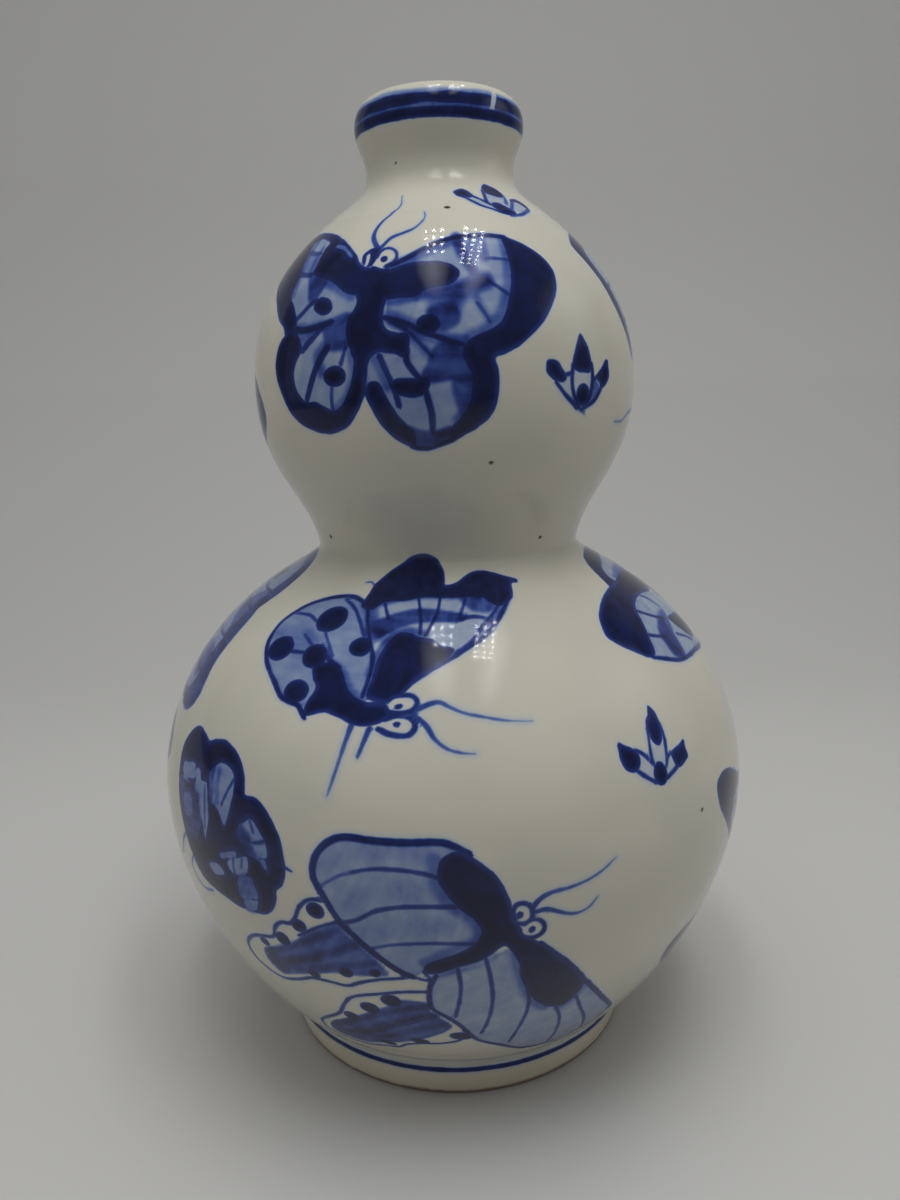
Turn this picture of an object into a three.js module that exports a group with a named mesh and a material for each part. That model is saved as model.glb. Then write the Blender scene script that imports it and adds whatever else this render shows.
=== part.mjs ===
// Double-gourd bottle vase of glazed ceramic: thrown and moulded sections, luted together with slip.
// Millimetres, +Z up, with the origin at the middle of the plane that the foot stands on.
import * as THREE from 'three';

// Facets round the axis, and steps along each curve of a profile
const FACETS = 48;
const WALL_STEPS = 8;
const COVE_STEPS = 3;
const NECK_STEPS = 5;
const LIP_STEPS = 4;
const BEAD_STEPS = 3;

// Walls and luted seams of the bulbs
const WALL = 4.5;
const SLIP = 0.8;
const SLIP_BEAD = 1.2;

// Foot ring: it spreads from its sole up to the seam, and its contact edges are worn round
const FOOT_RADIUS = 46.9;
const FOOT_TAPER = 1.8;
const FOOT_HEIGHT = 8.5;
const FOOT_WIDTH = 7.5;
const FOOT_SOLE = 5.5;
const FOOT_EDGE = 1.0;

// Lower bowl: a cove above the foot, a spreading wall up to the belly, and a floor inside.
// Slopes are degrees from the vertical; sweeps and swells are the curves' handle lengths.
const BELLY_RADIUS = 74.2;
const BOWL_HEIGHT = 60;
const BOWL_SLOPE = 43;
const BOWL_SWEEP = 23.4;
const BOWL_SWELL = 18.5;
const FOOT_COVE_RISE = 0.6;
const FOOT_COVE_RUN = 3.0;
const FLOOR_THICKNESS = 7.0;
const FLOOR_RADIUS = 36;
const FLOOR_SWEEP = 13;
const BOWL_INNER_SWELL = 27;

// Lower dome: from the belly in to the cove below the waist
const WAIST_RADIUS = 32.8;
const DOME_HEIGHT = 57.4;
const DOME_SLOPE = 61;
const DOME_SWELL = 15.1;
const DOME_SWEEP = 30.4;
const WAIST_COVE_RISE = 1.2;
const WAIST_COVE_RUN = 8.2;

// Upper bowl: from the waist out to the small bulb's widest line
const UPPER_BELLY_RADIUS = 46.2;
const UPPER_BOWL_HEIGHT = 36.7;
const UPPER_BOWL_SLOPE = 21;
const UPPER_BOWL_SWEEP = 8.6;
const UPPER_BOWL_SWELL = 15.8;
const UPPER_COVE_RISE = 1.2;
const UPPER_COVE_RUN = 4.0;

// Upper dome: from the small bulb's widest line in to the shoulder seam
const SHOULDER_RADIUS = 29.1;
const UPPER_DOME_HEIGHT = 35.5;
const SHOULDER_SLOPE = 48.5;
const UPPER_DOME_SWELL = 14.2;
const UPPER_DOME_SWEEP = 16;

// Neck: it draws in to the throat, flares, and ends in a thick rounded lip
const THROAT_RADIUS = 17.4;
const THROAT_RISE = 12.8;
const NECK_SWEEP = 9;
const NECK_SWELL = 6;
const FLARE_HEIGHT = 9.7;
const FLARE_SWELL = 3.4;
const LIP_RADIUS = 19.85;
const LIP_HEIGHT = 5.65;
const CREST_RADIUS = 15.9;
const MOUTH_RADIUS = 12.4;
const LIP_INNER_DROP = 4.2;

// Fired colours and gloss
const GLAZE = { color: 0xd6d3c4, roughness: 0.16, metalness: 0 };
const FOOT_GLAZE = { color: 0xd0c8ae, roughness: 0.3, metalness: 0 };
const FIRED_SLIP = { color: 0xc9c2ae, roughness: 0.6, metalness: 0 };

// A point of a profile: distance from the axis, height above the foot's plane.
const at = (radius, height) => new THREE.Vector2(radius, height);

// The unit direction up a wall that leans outwards by an angle in degrees.
function leaning(degrees) {
  const angle = THREE.MathUtils.degToRad(degrees);
  return at(Math.sin(angle), Math.cos(angle));
}

// The point a length away from another, along a direction.
function along(start, direction, length) {
  return start.clone().addScaledVector(direction, length);
}

// The direction from a wall's outside to its inside.
function inwards(up) {
  return at(-up.y, up.x);
}

// The cut edge of a section: a face square to the wall, from its outer to its inner corner.
function edge(outer, up, wall) {
  return { outer, up, inner: along(outer, inwards(up), wall) };
}

// The facing edge on the other side of the slip.
function acrossSlip(low) {
  return { outer: along(low.outer, low.up, SLIP), up: low.up, inner: along(low.inner, low.up, SLIP) };
}

// A curve with the number of steps that it is drawn with.
const stretch = (curve, steps) => ({ curve, steps });

// A wall's sweep between two points that it leaves and meets along given directions.
function sweep(start, leave, startHandle, end, meet, endHandle, steps) {
  const first = along(start, leave, startHandle);
  const last = along(end, meet, -endHandle);
  return stretch(new THREE.CubicBezierCurve(start, first, last, end), steps);
}

// The hollow corner between an upright seam and a leaning wall.
function cove(start, corner, end) {
  return stretch(new THREE.QuadraticBezierCurve(start, corner, end), COVE_STEPS);
}

// The points along joined stretches, without repeating the points where they join.
function trace(stretches) {
  return stretches.flatMap(({ curve, steps }, index) => curve.getPoints(steps).slice(index === 0 ? 0 : 1));
}

// The inside of a wall, point by point square to its outside, from the upper edge to the lower.
function insideOf(stretches, low, high) {
  const points = stretches.flatMap(({ curve, steps }, index) => {
    const inner = [];
    for (let step = index === 0 ? 0 : 1; step <= steps; step += 1) {
      const up = curve.getTangent(step / steps);
      inner.push(along(curve.getPoint(step / steps), inwards(up), WALL));
    }
    return inner;
  });
  points[0] = low.inner;
  points[points.length - 1] = high.inner;
  return points.reverse();
}

// An outline that returns to its first point.
const closed = (points) => [...points, points[0]];

// The outline of a section with an even wall between two cut edges.
function wallOutline(stretches, low, high) {
  return closed([...trace(stretches), ...insideOf(stretches, low, high)]);
}

// A named solid: an outline turned round the vase's axis.
function turned(name, outline, finish) {
  const geometry = new THREE.LatheGeometry(outline, FACETS);
  geometry.rotateX(Math.PI / 2);
  const mesh = new THREE.Mesh(geometry, new THREE.MeshStandardMaterial(finish));
  mesh.name = name;
  return mesh;
}

// Slip between two edges: it fills the seam and is squeezed out into a rounded bead inside.
function luting(name, low) {
  const high = acrossSlip(low);
  const middle = high.inner.clone().lerp(low.inner, 0.5);
  const bulge = along(middle, inwards(low.up), 2 * SLIP_BEAD);
  const bead = new THREE.QuadraticBezierCurve(high.inner, bulge, low.inner);
  return turned(name, closed([low.outer, high.outer, ...bead.getPoints(BEAD_STEPS)]), FIRED_SLIP);
}

// The cut edges, from the foot up: each section starts across the slip from the one below it
const UP = leaning(0);
const footEdge = edge(at(FOOT_RADIUS, FOOT_HEIGHT), UP, FOOT_WIDTH);
const bowlBase = acrossSlip(footEdge);
const bellyEdge = edge(at(BELLY_RADIUS, bowlBase.outer.y + BOWL_HEIGHT), UP, WALL);
const domeBase = acrossSlip(bellyEdge);
const waistEdge = edge(at(WAIST_RADIUS, domeBase.outer.y + DOME_HEIGHT), UP, WALL);
const upperBase = acrossSlip(waistEdge);
const upperBellyEdge = edge(at(UPPER_BELLY_RADIUS, upperBase.outer.y + UPPER_BOWL_HEIGHT), UP, WALL);
const upperDomeBase = acrossSlip(upperBellyEdge);
const shoulder = at(SHOULDER_RADIUS, upperDomeBase.outer.y + UPPER_DOME_HEIGHT);
const shoulderEdge = edge(shoulder, leaning(-SHOULDER_SLOPE), WALL);
const neckBase = acrossSlip(shoulderEdge);

// The ring under the bowl, with a level sole between its two worn edges.
function footRing() {
  const outside = FOOT_RADIUS - FOOT_TAPER;
  const inside = outside - FOOT_SOLE;
  const outerWear = new THREE.QuadraticBezierCurve(
    at(outside - FOOT_EDGE, 0), at(outside, 0), at(outside, FOOT_EDGE));
  const innerWear = new THREE.QuadraticBezierCurve(
    at(inside, FOOT_EDGE), at(inside, 0), at(inside + FOOT_EDGE, 0));
  const outline = [
    ...outerWear.getPoints(COVE_STEPS),
    footEdge.outer,
    footEdge.inner,
    ...innerWear.getPoints(COVE_STEPS),
  ];
  return turned('foot_ring', closed(outline), FOOT_GLAZE);
}

// The lower half of the large bulb, closed by its floor.
function lowerBowl() {
  const slope = leaning(BOWL_SLOPE);
  const corner = along(bowlBase.outer, UP, FOOT_COVE_RISE);
  const coveEnd = along(corner, slope, FOOT_COVE_RUN);
  const outside = trace([
    cove(bowlBase.outer, corner, coveEnd),
    sweep(coveEnd, slope, BOWL_SWEEP, bellyEdge.outer, UP, BOWL_SWELL, WALL_STEPS),
  ]);
  const base = bowlBase.outer.y;
  const floor = at(FLOOR_RADIUS, base + FLOOR_THICKNESS);
  const outwards = at(1, 0);
  const inside = trace([
    sweep(floor, outwards, FLOOR_SWEEP, bellyEdge.inner, UP, BOWL_INNER_SWELL, WALL_STEPS),
  ]);
  const outline = [at(0, base), bowlBase.inner, ...outside, ...inside.reverse(), at(0, floor.y)];
  return turned('lower_bowl', outline, GLAZE);
}

// The upper half of the large bulb, drawn in to the waist.
function lowerDome() {
  const slope = leaning(-DOME_SLOPE);
  const corner = along(waistEdge.outer, UP, -WAIST_COVE_RISE);
  const coveStart = along(corner, slope, -WAIST_COVE_RUN);
  const stretches = [
    sweep(domeBase.outer, UP, DOME_SWELL, coveStart, slope, DOME_SWEEP, WALL_STEPS),
    cove(coveStart, corner, waistEdge.outer),
  ];
  return turned('lower_dome', wallOutline(stretches, domeBase, waistEdge), GLAZE);
}

// The lower half of the small bulb, spreading from the waist.
function upperBowl() {
  const slope = leaning(UPPER_BOWL_SLOPE);
  const corner = along(upperBase.outer, UP, UPPER_COVE_RISE);
  const coveEnd = along(corner, slope, UPPER_COVE_RUN);
  const stretches = [
    cove(upperBase.outer, corner, coveEnd),
    sweep(coveEnd, slope, UPPER_BOWL_SWEEP, upperBellyEdge.outer, UP, UPPER_BOWL_SWELL, WALL_STEPS),
  ];
  return turned('upper_bowl', wallOutline(stretches, upperBase, upperBellyEdge), GLAZE);
}

// The upper half of the small bulb, rounding over to the shoulder seam.
function upperDome() {
  const { outer, up } = shoulderEdge;
  const stretches = [
    sweep(upperDomeBase.outer, UP, UPPER_DOME_SWELL, outer, up, UPPER_DOME_SWEEP, WALL_STEPS),
  ];
  return turned('upper_dome', wallOutline(stretches, upperDomeBase, shoulderEdge), GLAZE);
}

// A quarter of the lip's rounding about the height of its centre, between two angles.
function lipQuarter(width, height, centreHeight, from, to) {
  const curve = new THREE.EllipseCurve(CREST_RADIUS, centreHeight, width, height, from, to);
  return stretch(curve, LIP_STEPS);
}

// The neck: in from the shoulder to the throat, out to the lip, over the crest and down the mouth.
function neck() {
  const throatHeight = neckBase.outer.y + THROAT_RISE;
  const throat = at(THROAT_RADIUS, throatHeight);
  const flareTop = at(LIP_RADIUS, throatHeight + FLARE_HEIGHT);
  const crestHeight = flareTop.y + LIP_HEIGHT;
  const innerCentre = crestHeight - LIP_INNER_DROP;
  const mouth = at(MOUTH_RADIUS, throatHeight);
  const outside = trace([
    sweep(neckBase.outer, neckBase.up, NECK_SWEEP, throat, UP, NECK_SWELL, NECK_STEPS),
    sweep(throat, UP, FLARE_SWELL, flareTop, UP, FLARE_SWELL, NECK_STEPS),
    lipQuarter(LIP_RADIUS - CREST_RADIUS, LIP_HEIGHT, flareTop.y, 0, Math.PI / 2),
    lipQuarter(CREST_RADIUS - MOUTH_RADIUS, LIP_INNER_DROP, innerCentre, Math.PI / 2, Math.PI),
  ]);
  const inside = trace([
    sweep(neckBase.inner, neckBase.up, NECK_SWEEP, mouth, UP, NECK_SWELL, NECK_STEPS),
  ]);
  return turned('neck', closed([...outside, ...inside.reverse()]), GLAZE);
}

const vase = new THREE.Group();
vase.add(
  footRing(),
  luting('foot_slip', footEdge),
  lowerBowl(),
  luting('belly_slip', bellyEdge),
  lowerDome(),
  luting('waist_slip', waistEdge),
  upperBowl(),
  luting('upper_belly_slip', upperBellyEdge),
  upperDome(),
  luting('neck_slip', shoulderEdge),
  neck(),
);

export default vase;
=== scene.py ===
"""Double-gourd vase of glazed ceramic, painted in cobalt blue under the glaze, on a plain studio sweep."""

import logging
import math
from dataclasses import dataclass, field, replace
from enum import Enum

import bpy
import numpy as np
from mathutils import Matrix


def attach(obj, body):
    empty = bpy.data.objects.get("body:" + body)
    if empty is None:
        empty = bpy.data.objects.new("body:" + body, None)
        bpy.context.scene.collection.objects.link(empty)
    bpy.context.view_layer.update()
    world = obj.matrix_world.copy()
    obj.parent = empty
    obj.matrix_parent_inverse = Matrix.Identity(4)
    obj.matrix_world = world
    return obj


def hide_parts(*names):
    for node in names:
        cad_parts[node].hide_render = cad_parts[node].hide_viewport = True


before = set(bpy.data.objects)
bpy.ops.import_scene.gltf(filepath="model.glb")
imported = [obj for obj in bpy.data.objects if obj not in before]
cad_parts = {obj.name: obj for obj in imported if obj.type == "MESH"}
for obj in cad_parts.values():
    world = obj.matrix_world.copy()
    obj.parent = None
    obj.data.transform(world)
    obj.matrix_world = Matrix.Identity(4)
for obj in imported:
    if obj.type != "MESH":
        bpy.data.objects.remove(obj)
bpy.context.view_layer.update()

LOG = logging.getLogger("vase")
MM = 0.001
BODY = "root"

# Depths in millimetres end here, well outside any painted shape
FAR = -3.0
# What each painted layer holds on a bare wall
BARE_WALL = {"dark": FAR, "line": FAR, "across": FAR, "other": FAR, "speck": FAR, "tint": 0.0, "load": 0.8, "half": 0.0}
# Outline points of a dab, and points that are measured against an outline at a time
DAB_POINTS = 14
BATCH = 4000
# How far from its anchor a motif's brushwork runs, and how far apart the motifs lie in it
GRAIN_REACH = 60.0
GRAIN_APART = 40.0
# A mesh point this near the outer curve, in millimetres, is on the outer wall
OUTER_REACH = 0.6
# Rows of the outer wall on the bake map
MAP_ROWS = 3

# Node kinds and settings that the glaze uses again and again
MATH, RANGE, NOISE, MIX = "ShaderNodeMath", "ShaderNodeMapRange", "ShaderNodeTexNoise", "ShaderNodeMix"
PLUS, LESS, TIMES, MOST = ({"operation": name} for name in ("ADD", "SUBTRACT", "MULTIPLY", "MAXIMUM"))
TIMES_PLUS = {"operation": "MULTIPLY_ADD"}
SMOOTH = {"interpolation_type": "SMOOTHSTEP"}
COLOUR = {"data_type": "RGBA"}

Array = np.ndarray
Points = tuple[tuple[float, float], ...]


def linear(code: str) -> tuple[float, float, float, float]:
    """Turn an sRGB hex colour into linear light.

    Args:
        code: Six hex digits after a hash sign.

    Returns:
        Red, green, blue and an alpha of one.
    """
    parts = [int(code[i:i + 2], 16) / 255 for i in (1, 3, 5)]
    light = [c / 12.92 if c <= 0.04045 else ((c + 0.055) / 1.055) ** 2.4 for c in parts]
    return (*light, 1.0)


def add_node(tree: bpy.types.NodeTree, kind: str, settings: dict, links: dict) -> bpy.types.Node:
    """Add a shader node with its settings and inputs.

    Args:
        tree: The material's node tree.
        kind: Blender's name of the node type.
        settings: Properties to set on the node.
        links: Input sockets, each with a value or with the output that feeds it.

    Returns:
        The new node.
    """
    node = tree.nodes.new(kind)
    for name, value in settings.items():
        setattr(node, name, value)
    for key, value in links.items():
        if isinstance(value, bpy.types.NodeSocket):
            tree.links.new(value, node.inputs[key])
        else:
            node.inputs[key].default_value = value
    return node


def pts(text: str) -> Points:
    """Read points of a drawing from text, as pairs of millimetres parted by spaces."""
    return tuple(tuple(float(c) for c in pair.split(",")) for pair in text.split())


class Tone(Enum):
    """How much cobalt an area of the painting carries."""

    WASH = "wash"
    MID = "mid"
    DARK = "dark"
    CELL = "cell"
    BARE = "bare"


@dataclass(frozen=True)
class Patch:
    """An area of one tone inside a closed brush outline, in the motif's millimetres."""

    tone: Tone
    outline: Points
    strength: float = 0.0
    soft: float = 0.3


@dataclass(frozen=True)
class Stroke:
    """A stroke of the brush, from its first width to its last: a crisp line, or a soft one with a blurred edge."""

    path: Points
    start: float
    end: float
    load: float
    soft: float = 0.0


@dataclass(frozen=True)
class Motif:
    """One painted figure, drawn flat in millimetres about its anchor; its brushwork runs at an angle in degrees."""

    patches: tuple[Patch, ...]
    strokes: tuple[Stroke, ...]
    grain: float = 0.0


def wash(text: str, strength: float = 0.2) -> Patch:
    """Make a pale area."""
    return Patch(Tone.WASH, pts(text), strength)


def mid(text: str, strength: float = 0.45, soft: float = 0.7) -> Patch:
    """Make a half-strong area that fades out at its edge."""
    return Patch(Tone.MID, pts(text), strength, soft)


def dark(text: str) -> Patch:
    """Make a full, dark area."""
    return Patch(Tone.DARK, pts(text))


def cell(text: str, strength: float = 0.3) -> Patch:
    """Make a tinted cell that is left free in a dark area."""
    return Patch(Tone.CELL, pts(text), strength)


def bare(text: str) -> Patch:
    """Make a cell without any cobalt."""
    return Patch(Tone.BARE, pts(text))


def dab(x: float, y: float, across: float, high: float, turn: float = 0.0) -> Patch:
    """Make a dark round dab of the brush.

    Args:
        x: Its middle, to the right of the motif's anchor.
        y: Its middle, above the anchor.
        across: Its half width.
        high: Its half height.
        turn: Its turn in degrees.

    Returns:
        The dab, as an area with an outline.
    """
    angle = np.linspace(0, 2 * np.pi, DAB_POINTS, endpoint=False)
    lean = math.radians(turn)
    right, up = across * np.cos(angle), high * np.sin(angle)
    outline = zip(x + right * math.cos(lean) - up * math.sin(lean), y + right * math.sin(lean) + up * math.cos(lean))
    return Patch(Tone.DARK, tuple(outline))


def line(text: str, start: float = 0.9, end: float | None = None, load: float = 0.7) -> Stroke:
    """Make a brush line."""
    return Stroke(pts(text), start, start if end is None else end, load)


def sweep(text: str, start: float, end: float | None = None, load: float = 0.4) -> Stroke:
    """Make a broad, wet stroke that blends into the wash under it."""
    width = start if end is None else end
    return Stroke(pts(text), start, width, load, 0.3 * min(start, width) + 0.25)


# The large butterfly on the front of the small bulb, wings spread
SPREAD_BUTTERFLY = Motif(
    (
        wash("-5,15.2 -2,16.2 1,17.8 4,19.6 8,21.3 12,22.4 17,22.9 21,23 25,22.6 30,20 33,15 32,9 28,4 22,0 12,-1.6 "
             "6,-.6 0,1 -3.5,4 -4,8 -6,12", 0.23),
        wash("0,1 6,-1 12,-2 16,-6 16,-12 13,-16 9,-19.5 3,-21.5 -2,-19.5 -5,-15 -8,-9 -8,-4.2 -4,-3", 0.27),
        wash("-38,26.5 -31,27 -26,25.5 -22,23 -14,17 -9.5,10 -10,6 -14,2.8 -20,1.6 -28,1.8 -32,6 -36,10 "
             "-38,18", 0.24),
        wash("-30,-6.5 -29,-1 -24,1.2 -20,3 -15,3.6 -14.5,0 -9.5,-1.5 -8.8,-6 -10,-11.5 -13,-15.5 -19,-15.6 "
             "-25,-14", 0.22),
        mid("4.6,4.8 7,6.3 10,6.3 11.4,4 10.8,2 8,.8 6,2", 0.66, 0.7),
        mid("6.4,-2 9,-1.4 11.8,-3 12.6,-5.5 13.6,-8 12.9,-10.4 10,-8.9 7,-9.2 5,-9.3 3.4,-8 4.6,-5.5 "
            "5.2,-4", 0.6, 0.5),
        mid("9.6,-8.6 13.6,-8 13.4,-13 11.4,-16 9.8,-12", 0.5),
        mid("-.8,-17.6 3,-18.6 6,-18.8 9,-18 10,-20.8 6,-22 3.5,-22.5 1,-22", 0.72, 0.5),
        mid("-27.4,15 -24,14.6 -20.3,13.2 -20.8,11 -22.8,8.4 -24.6,8.8 -25.6,11", 0.56, 0.6),
        mid("-34.4,20.6 -28,20.6 -27.6,16.2 -33,16.2", 0.2, 0.6),
        mid("-18.4,3.4 -12,5.2 -10.6,0 -12,-2 -16.6,-2.2 -18.2,.4", 0.62, 0.6),
        mid("-25.8,1.8 -21.2,2.2 -23.8,-1", 0.3, 0.4),
        dark("24.2,22.8 27,22.2 30,20.8 32.5,19 34.5,16.8 35.6,14.2 35.1,11 33.8,8.2 31.5,5 29,2.2 26.5,0 23.5,-2.2 "
             "20.5,-3.8 18.2,-4.6 18.7,-7 18.9,-10 18.5,-13 17.2,-16 15,-18 12.5,-19.5 9.5,-20.8 9,-18.4 11,-16.2 "
             "12.6,-13.8 13.3,-11 13.4,-8 12.2,-5.5 11.8,-3.5 12,-2 14,-.5 17,.8 19.5,2.2 21,4.5 22.3,8 23.3,11.5 "
             "24,15 24,19"),
        dark("1.5,-22.2 -1.5,-21 -4,-19 -6,-16.3 -7.6,-13 -8.2,-11 -7.5,-9 -5.5,-8.8 -4.3,-10.5 -3,-13 -1.5,-15.5 "
             ".5,-17.7 1.6,-19"),
        dark("-9,15 -6,14.8 -3.5,14.6 -1,15.5 2,16 5,16 8,15.8 10.3,15 11.8,13.3 11,11.3 9,10.2 5,9.6 2,8 -2,7.7 "
             "-4,7.5 -6,7"),
        dark("-13,16.5 -11,15.5 -9,15.2 -6,14 -4,10 -4,7.5 -4.5,4 -3.5,1.5 -1,.6 .8,.6 1.2,-1.5 .2,-4.2 -2,-3.5 "
             "-5,-3.2 -7.2,-4.5 -7.8,-8 -8.2,-11.5 -9.5,-8 -10.5,-4 -11.6,-2 -12.6,1 -12.4,4 -11.4,5.6 -10.8,7.4 "
             "-11.6,9.4 -13.5,10.4 -13.5,13"),
        dark("-3,-9.3 -1.5,-8.3 2,-8.2 4.3,-8.3 5.2,-9.5 4,-11.5 1.5,-12.1 -1.2,-11.5 -2.5,-10.5"),
        dab(4.9, 2.2, 2.4, 2.0),
        dark("-12,16.5 -14,18.8 -17,21.2 -20,23.4 -23,25 -26,26.2 -30,27.4 -34,28.2 -38,28.7 -43,28.6 -47.5,26 "
             "-49,20.5 -47.5,15.8 -43.5,12.6 -39,9.2 -35.4,5.8 -32,3.4 -30.8,1.6 -28.4,2.4 -27,4 -28.4,6.6 -30.2,8.6 "
             "-31.8,10 -32.2,12.4 -31.8,15 -33,17.4 -34.2,20.4 -35.6,23.4 -36.2,25.2 -33,26 -29,24.9 -26.7,23.8 "
             "-27.2,21.8 -27,18.6 -26.6,15.6 -24,14.4 -20,13.1 -17,11.5 -14.4,9.9 -12.5,9.2 -9,9 -9,14"),
        cell("-22.4,21.9 -19,20.7 -15.4,18.2 -15.2,18.9 -18.6,21.6 -22,22.7", 0.42),
        dab(-19.6, 7.2, 2.9, 1.9, -20),
        dark("-30.8,1.8 -33,-.4 -34,-4 -33.4,-7.4 -31.4,-11 -29,-14.6 -26,-17 -22,-18.6 -18,-19.2 -14,-18.2 "
             "-11.6,-16.4 -9.6,-13.6 -8.3,-10.5 -8,-6 -8.4,-2 -10,-1 -11.4,-2.6 -10.7,-4.4 -10.9,-7 -11.9,-10.2 "
             "-13.7,-13 -15.7,-14.3 -18,-13.5 -20.4,-12.5 -23.6,-12.2 -25.6,-10.4 -26.7,-7.8 -26.4,-5 -24.8,-2.6 "
             "-24.4,-.8 -26,1.6 -28,2.6"),
        dab(-15.2, -7.4, 2.8, 2.1),
        dark("-12,18.6 -11.4,16.4 -9.2,15.4 -8.2,16.6 -7.9,18.6 -7.4,20.2 -8.6,20.6 -10.4,20.2"),
        bare("-10.8,18.4 -10.2,18.8 -9.8,17.6 -9.9,15.9 -10.5,15.7 -10.7,17"),
        bare("-8,17.6 -7.2,19.2 -5.4,19.7 -3.7,18.8 -3.3,17 -4.4,15.4 -6.4,15.3 -7.6,16.2"),
        dab(-6, 17.1, 0.9, 0.75, -20),
    ),
    (
        sweep("24.2,22 23.6,16 22.4,10 20.4,5 17.6,1.6 13,-.6", 2.4, load=0.34),
        sweep("-3,15.6 1,17 4.5,18.8 9,20.6", 2.6, load=0.42),
        sweep("11.8,22.2 12.4,19.4 13.6,16.4 15,13.4", 3.0, 2.2, 0.66),
        sweep("18.3,22 18.4,19 18.1,16.6", 1.8, load=0.4),
        sweep("15.6,22 15.8,17.6", 2.4, load=0.25),
        sweep("3,8.6 8,8.8 12,9.4 17.4,11.2", 2.8, 3.8, 0.44),
        sweep("6.5,6.6 10,7.4 14,9.8 17,11.2", 3.4, load=0.34),
        sweep("10,4.6 11,7.2 12,9.4", 3.0, load=0.4),
        sweep("15,7.4 16.4,4.6 17.4,2.8", 1.6, load=0.3),
        sweep("-4,4.2 -1,3 2,1.8 5,.4 9,-.9 12,-1.8", 2.6, load=0.42),
        sweep("-3,2.6 0,1 2.6,-1 5.6,-4", 2.0, load=0.34),
        sweep("-3.6,7 0,7.5 4,8.4 9,9.8", 1.8, load=0.42),
        sweep("13,-3 13.4,-8 12.8,-13 10.6,-16.6", 2.0, load=0.4),
        sweep("-6,-4.4 -4.8,-6.8 -3.4,-10", 1.6, load=0.3),
        sweep("-34.4,25 -33.4,20 -32.2,15.6 -31.6,11", 2.2, load=0.34),
        sweep("-28.6,22.6 -28.4,19 -27.6,15.4", 1.6, load=0.4),
        sweep("-20,12.6 -16,10.6 -12.4,8.8", 2.0, load=0.4),
        sweep("-27,3 -23,2.6 -18,3.2", 2.0, load=0.36),
        sweep("-18.4,-6.4 -19.6,-3.6 -18.2,-1.4", 2.2, load=0.4),
        sweep("-11.4,-3 -11,-7 -12.4,-11.4 -15.4,-14", 1.6, load=0.3),
        line("-5,15.2 -2,16.2 1,17.8 4,19.6 8,21.3 12,22.4 17,22.9 21,23 25,22.6", 1.3, load=0.88),
        line("-4.3,3.8 -2,3.2 1,2.2 3.5,.8 6.5,-.3 9,-1.2 12,-2", 1.1, load=0.8),
        line("-3,3 -.5,1.8 1.5,.3 3.2,-1.5 5.5,-4", 0.9, load=0.66),
        line("-5,-3.8 -4,-6 -3,-8.2 -2,-10.5 -1.3,-13.5", 1.3, load=0.76),
        line(".6,-2.6 .6,-5 2.2,-7.4 3.8,-9.5 4.6,-12.5 5.3,-15.5 5.3,-18.6", 1.3, load=0.86),
        line("9.5,-20.6 6,-22 3.5,-22.5 1,-22.1", 1.0, load=0.88),
        line("24,16.3 21,16.6 18.5,16.6", 0.8, load=0.5),
        line("18,11.2 20,9.8 22,8.3", 0.9, load=0.6),
        line("15.2,6.2 16.5,4.2 17.3,2.6", 0.8, load=0.44),
        line("-35,22.3 -31,21.3 -28,21", 1.2, load=0.6),
        line("-33,16 -30,15.4 -27,15.2", 1.3, load=0.7),
        line("-28,4.4 -25.5,6.2 -23.6,7.8 -22,8.6", 1.2, load=0.74),
        line("-27.5,2.8 -24,2.4 -20,2.8 -16.6,3.6", 1.5, load=0.8),
        line("-24,-1.8 -21.4,.4 -19,2.5", 1.4, load=0.78),
        line("-23,-12 -21.2,-8 -19.4,-4.6 -17.2,-1.8", 1.4, 1.8, 0.74),
        line("-16.2,-14 -16.2,-11.5 -15.8,-9", 0.9, load=0.58),
        line("-13.6,-5 -13,-3.2 -12.6,-2", 0.9, load=0.66),
        line("-8,17.6 -7.2,19.4 -5.4,20 -3.4,19 -2.9,17 -4.2,15.2", 0.8, load=0.8),
        line("-8.3,20 -10.4,22.7 -11.2,25.3 -10.4,28.4 -8.4,31 -6.8,33 -6.5,35 -8,38.2", 1.5, 0.4, 0.78),
        line("-7.4,20.6 -5.4,23 -2.4,24.2 .4,25.5 2.3,27.5 3.1,29.2 2.8,30.8", 1.2, 0.4, 0.76),
    ),
    -12.0,
)

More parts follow.
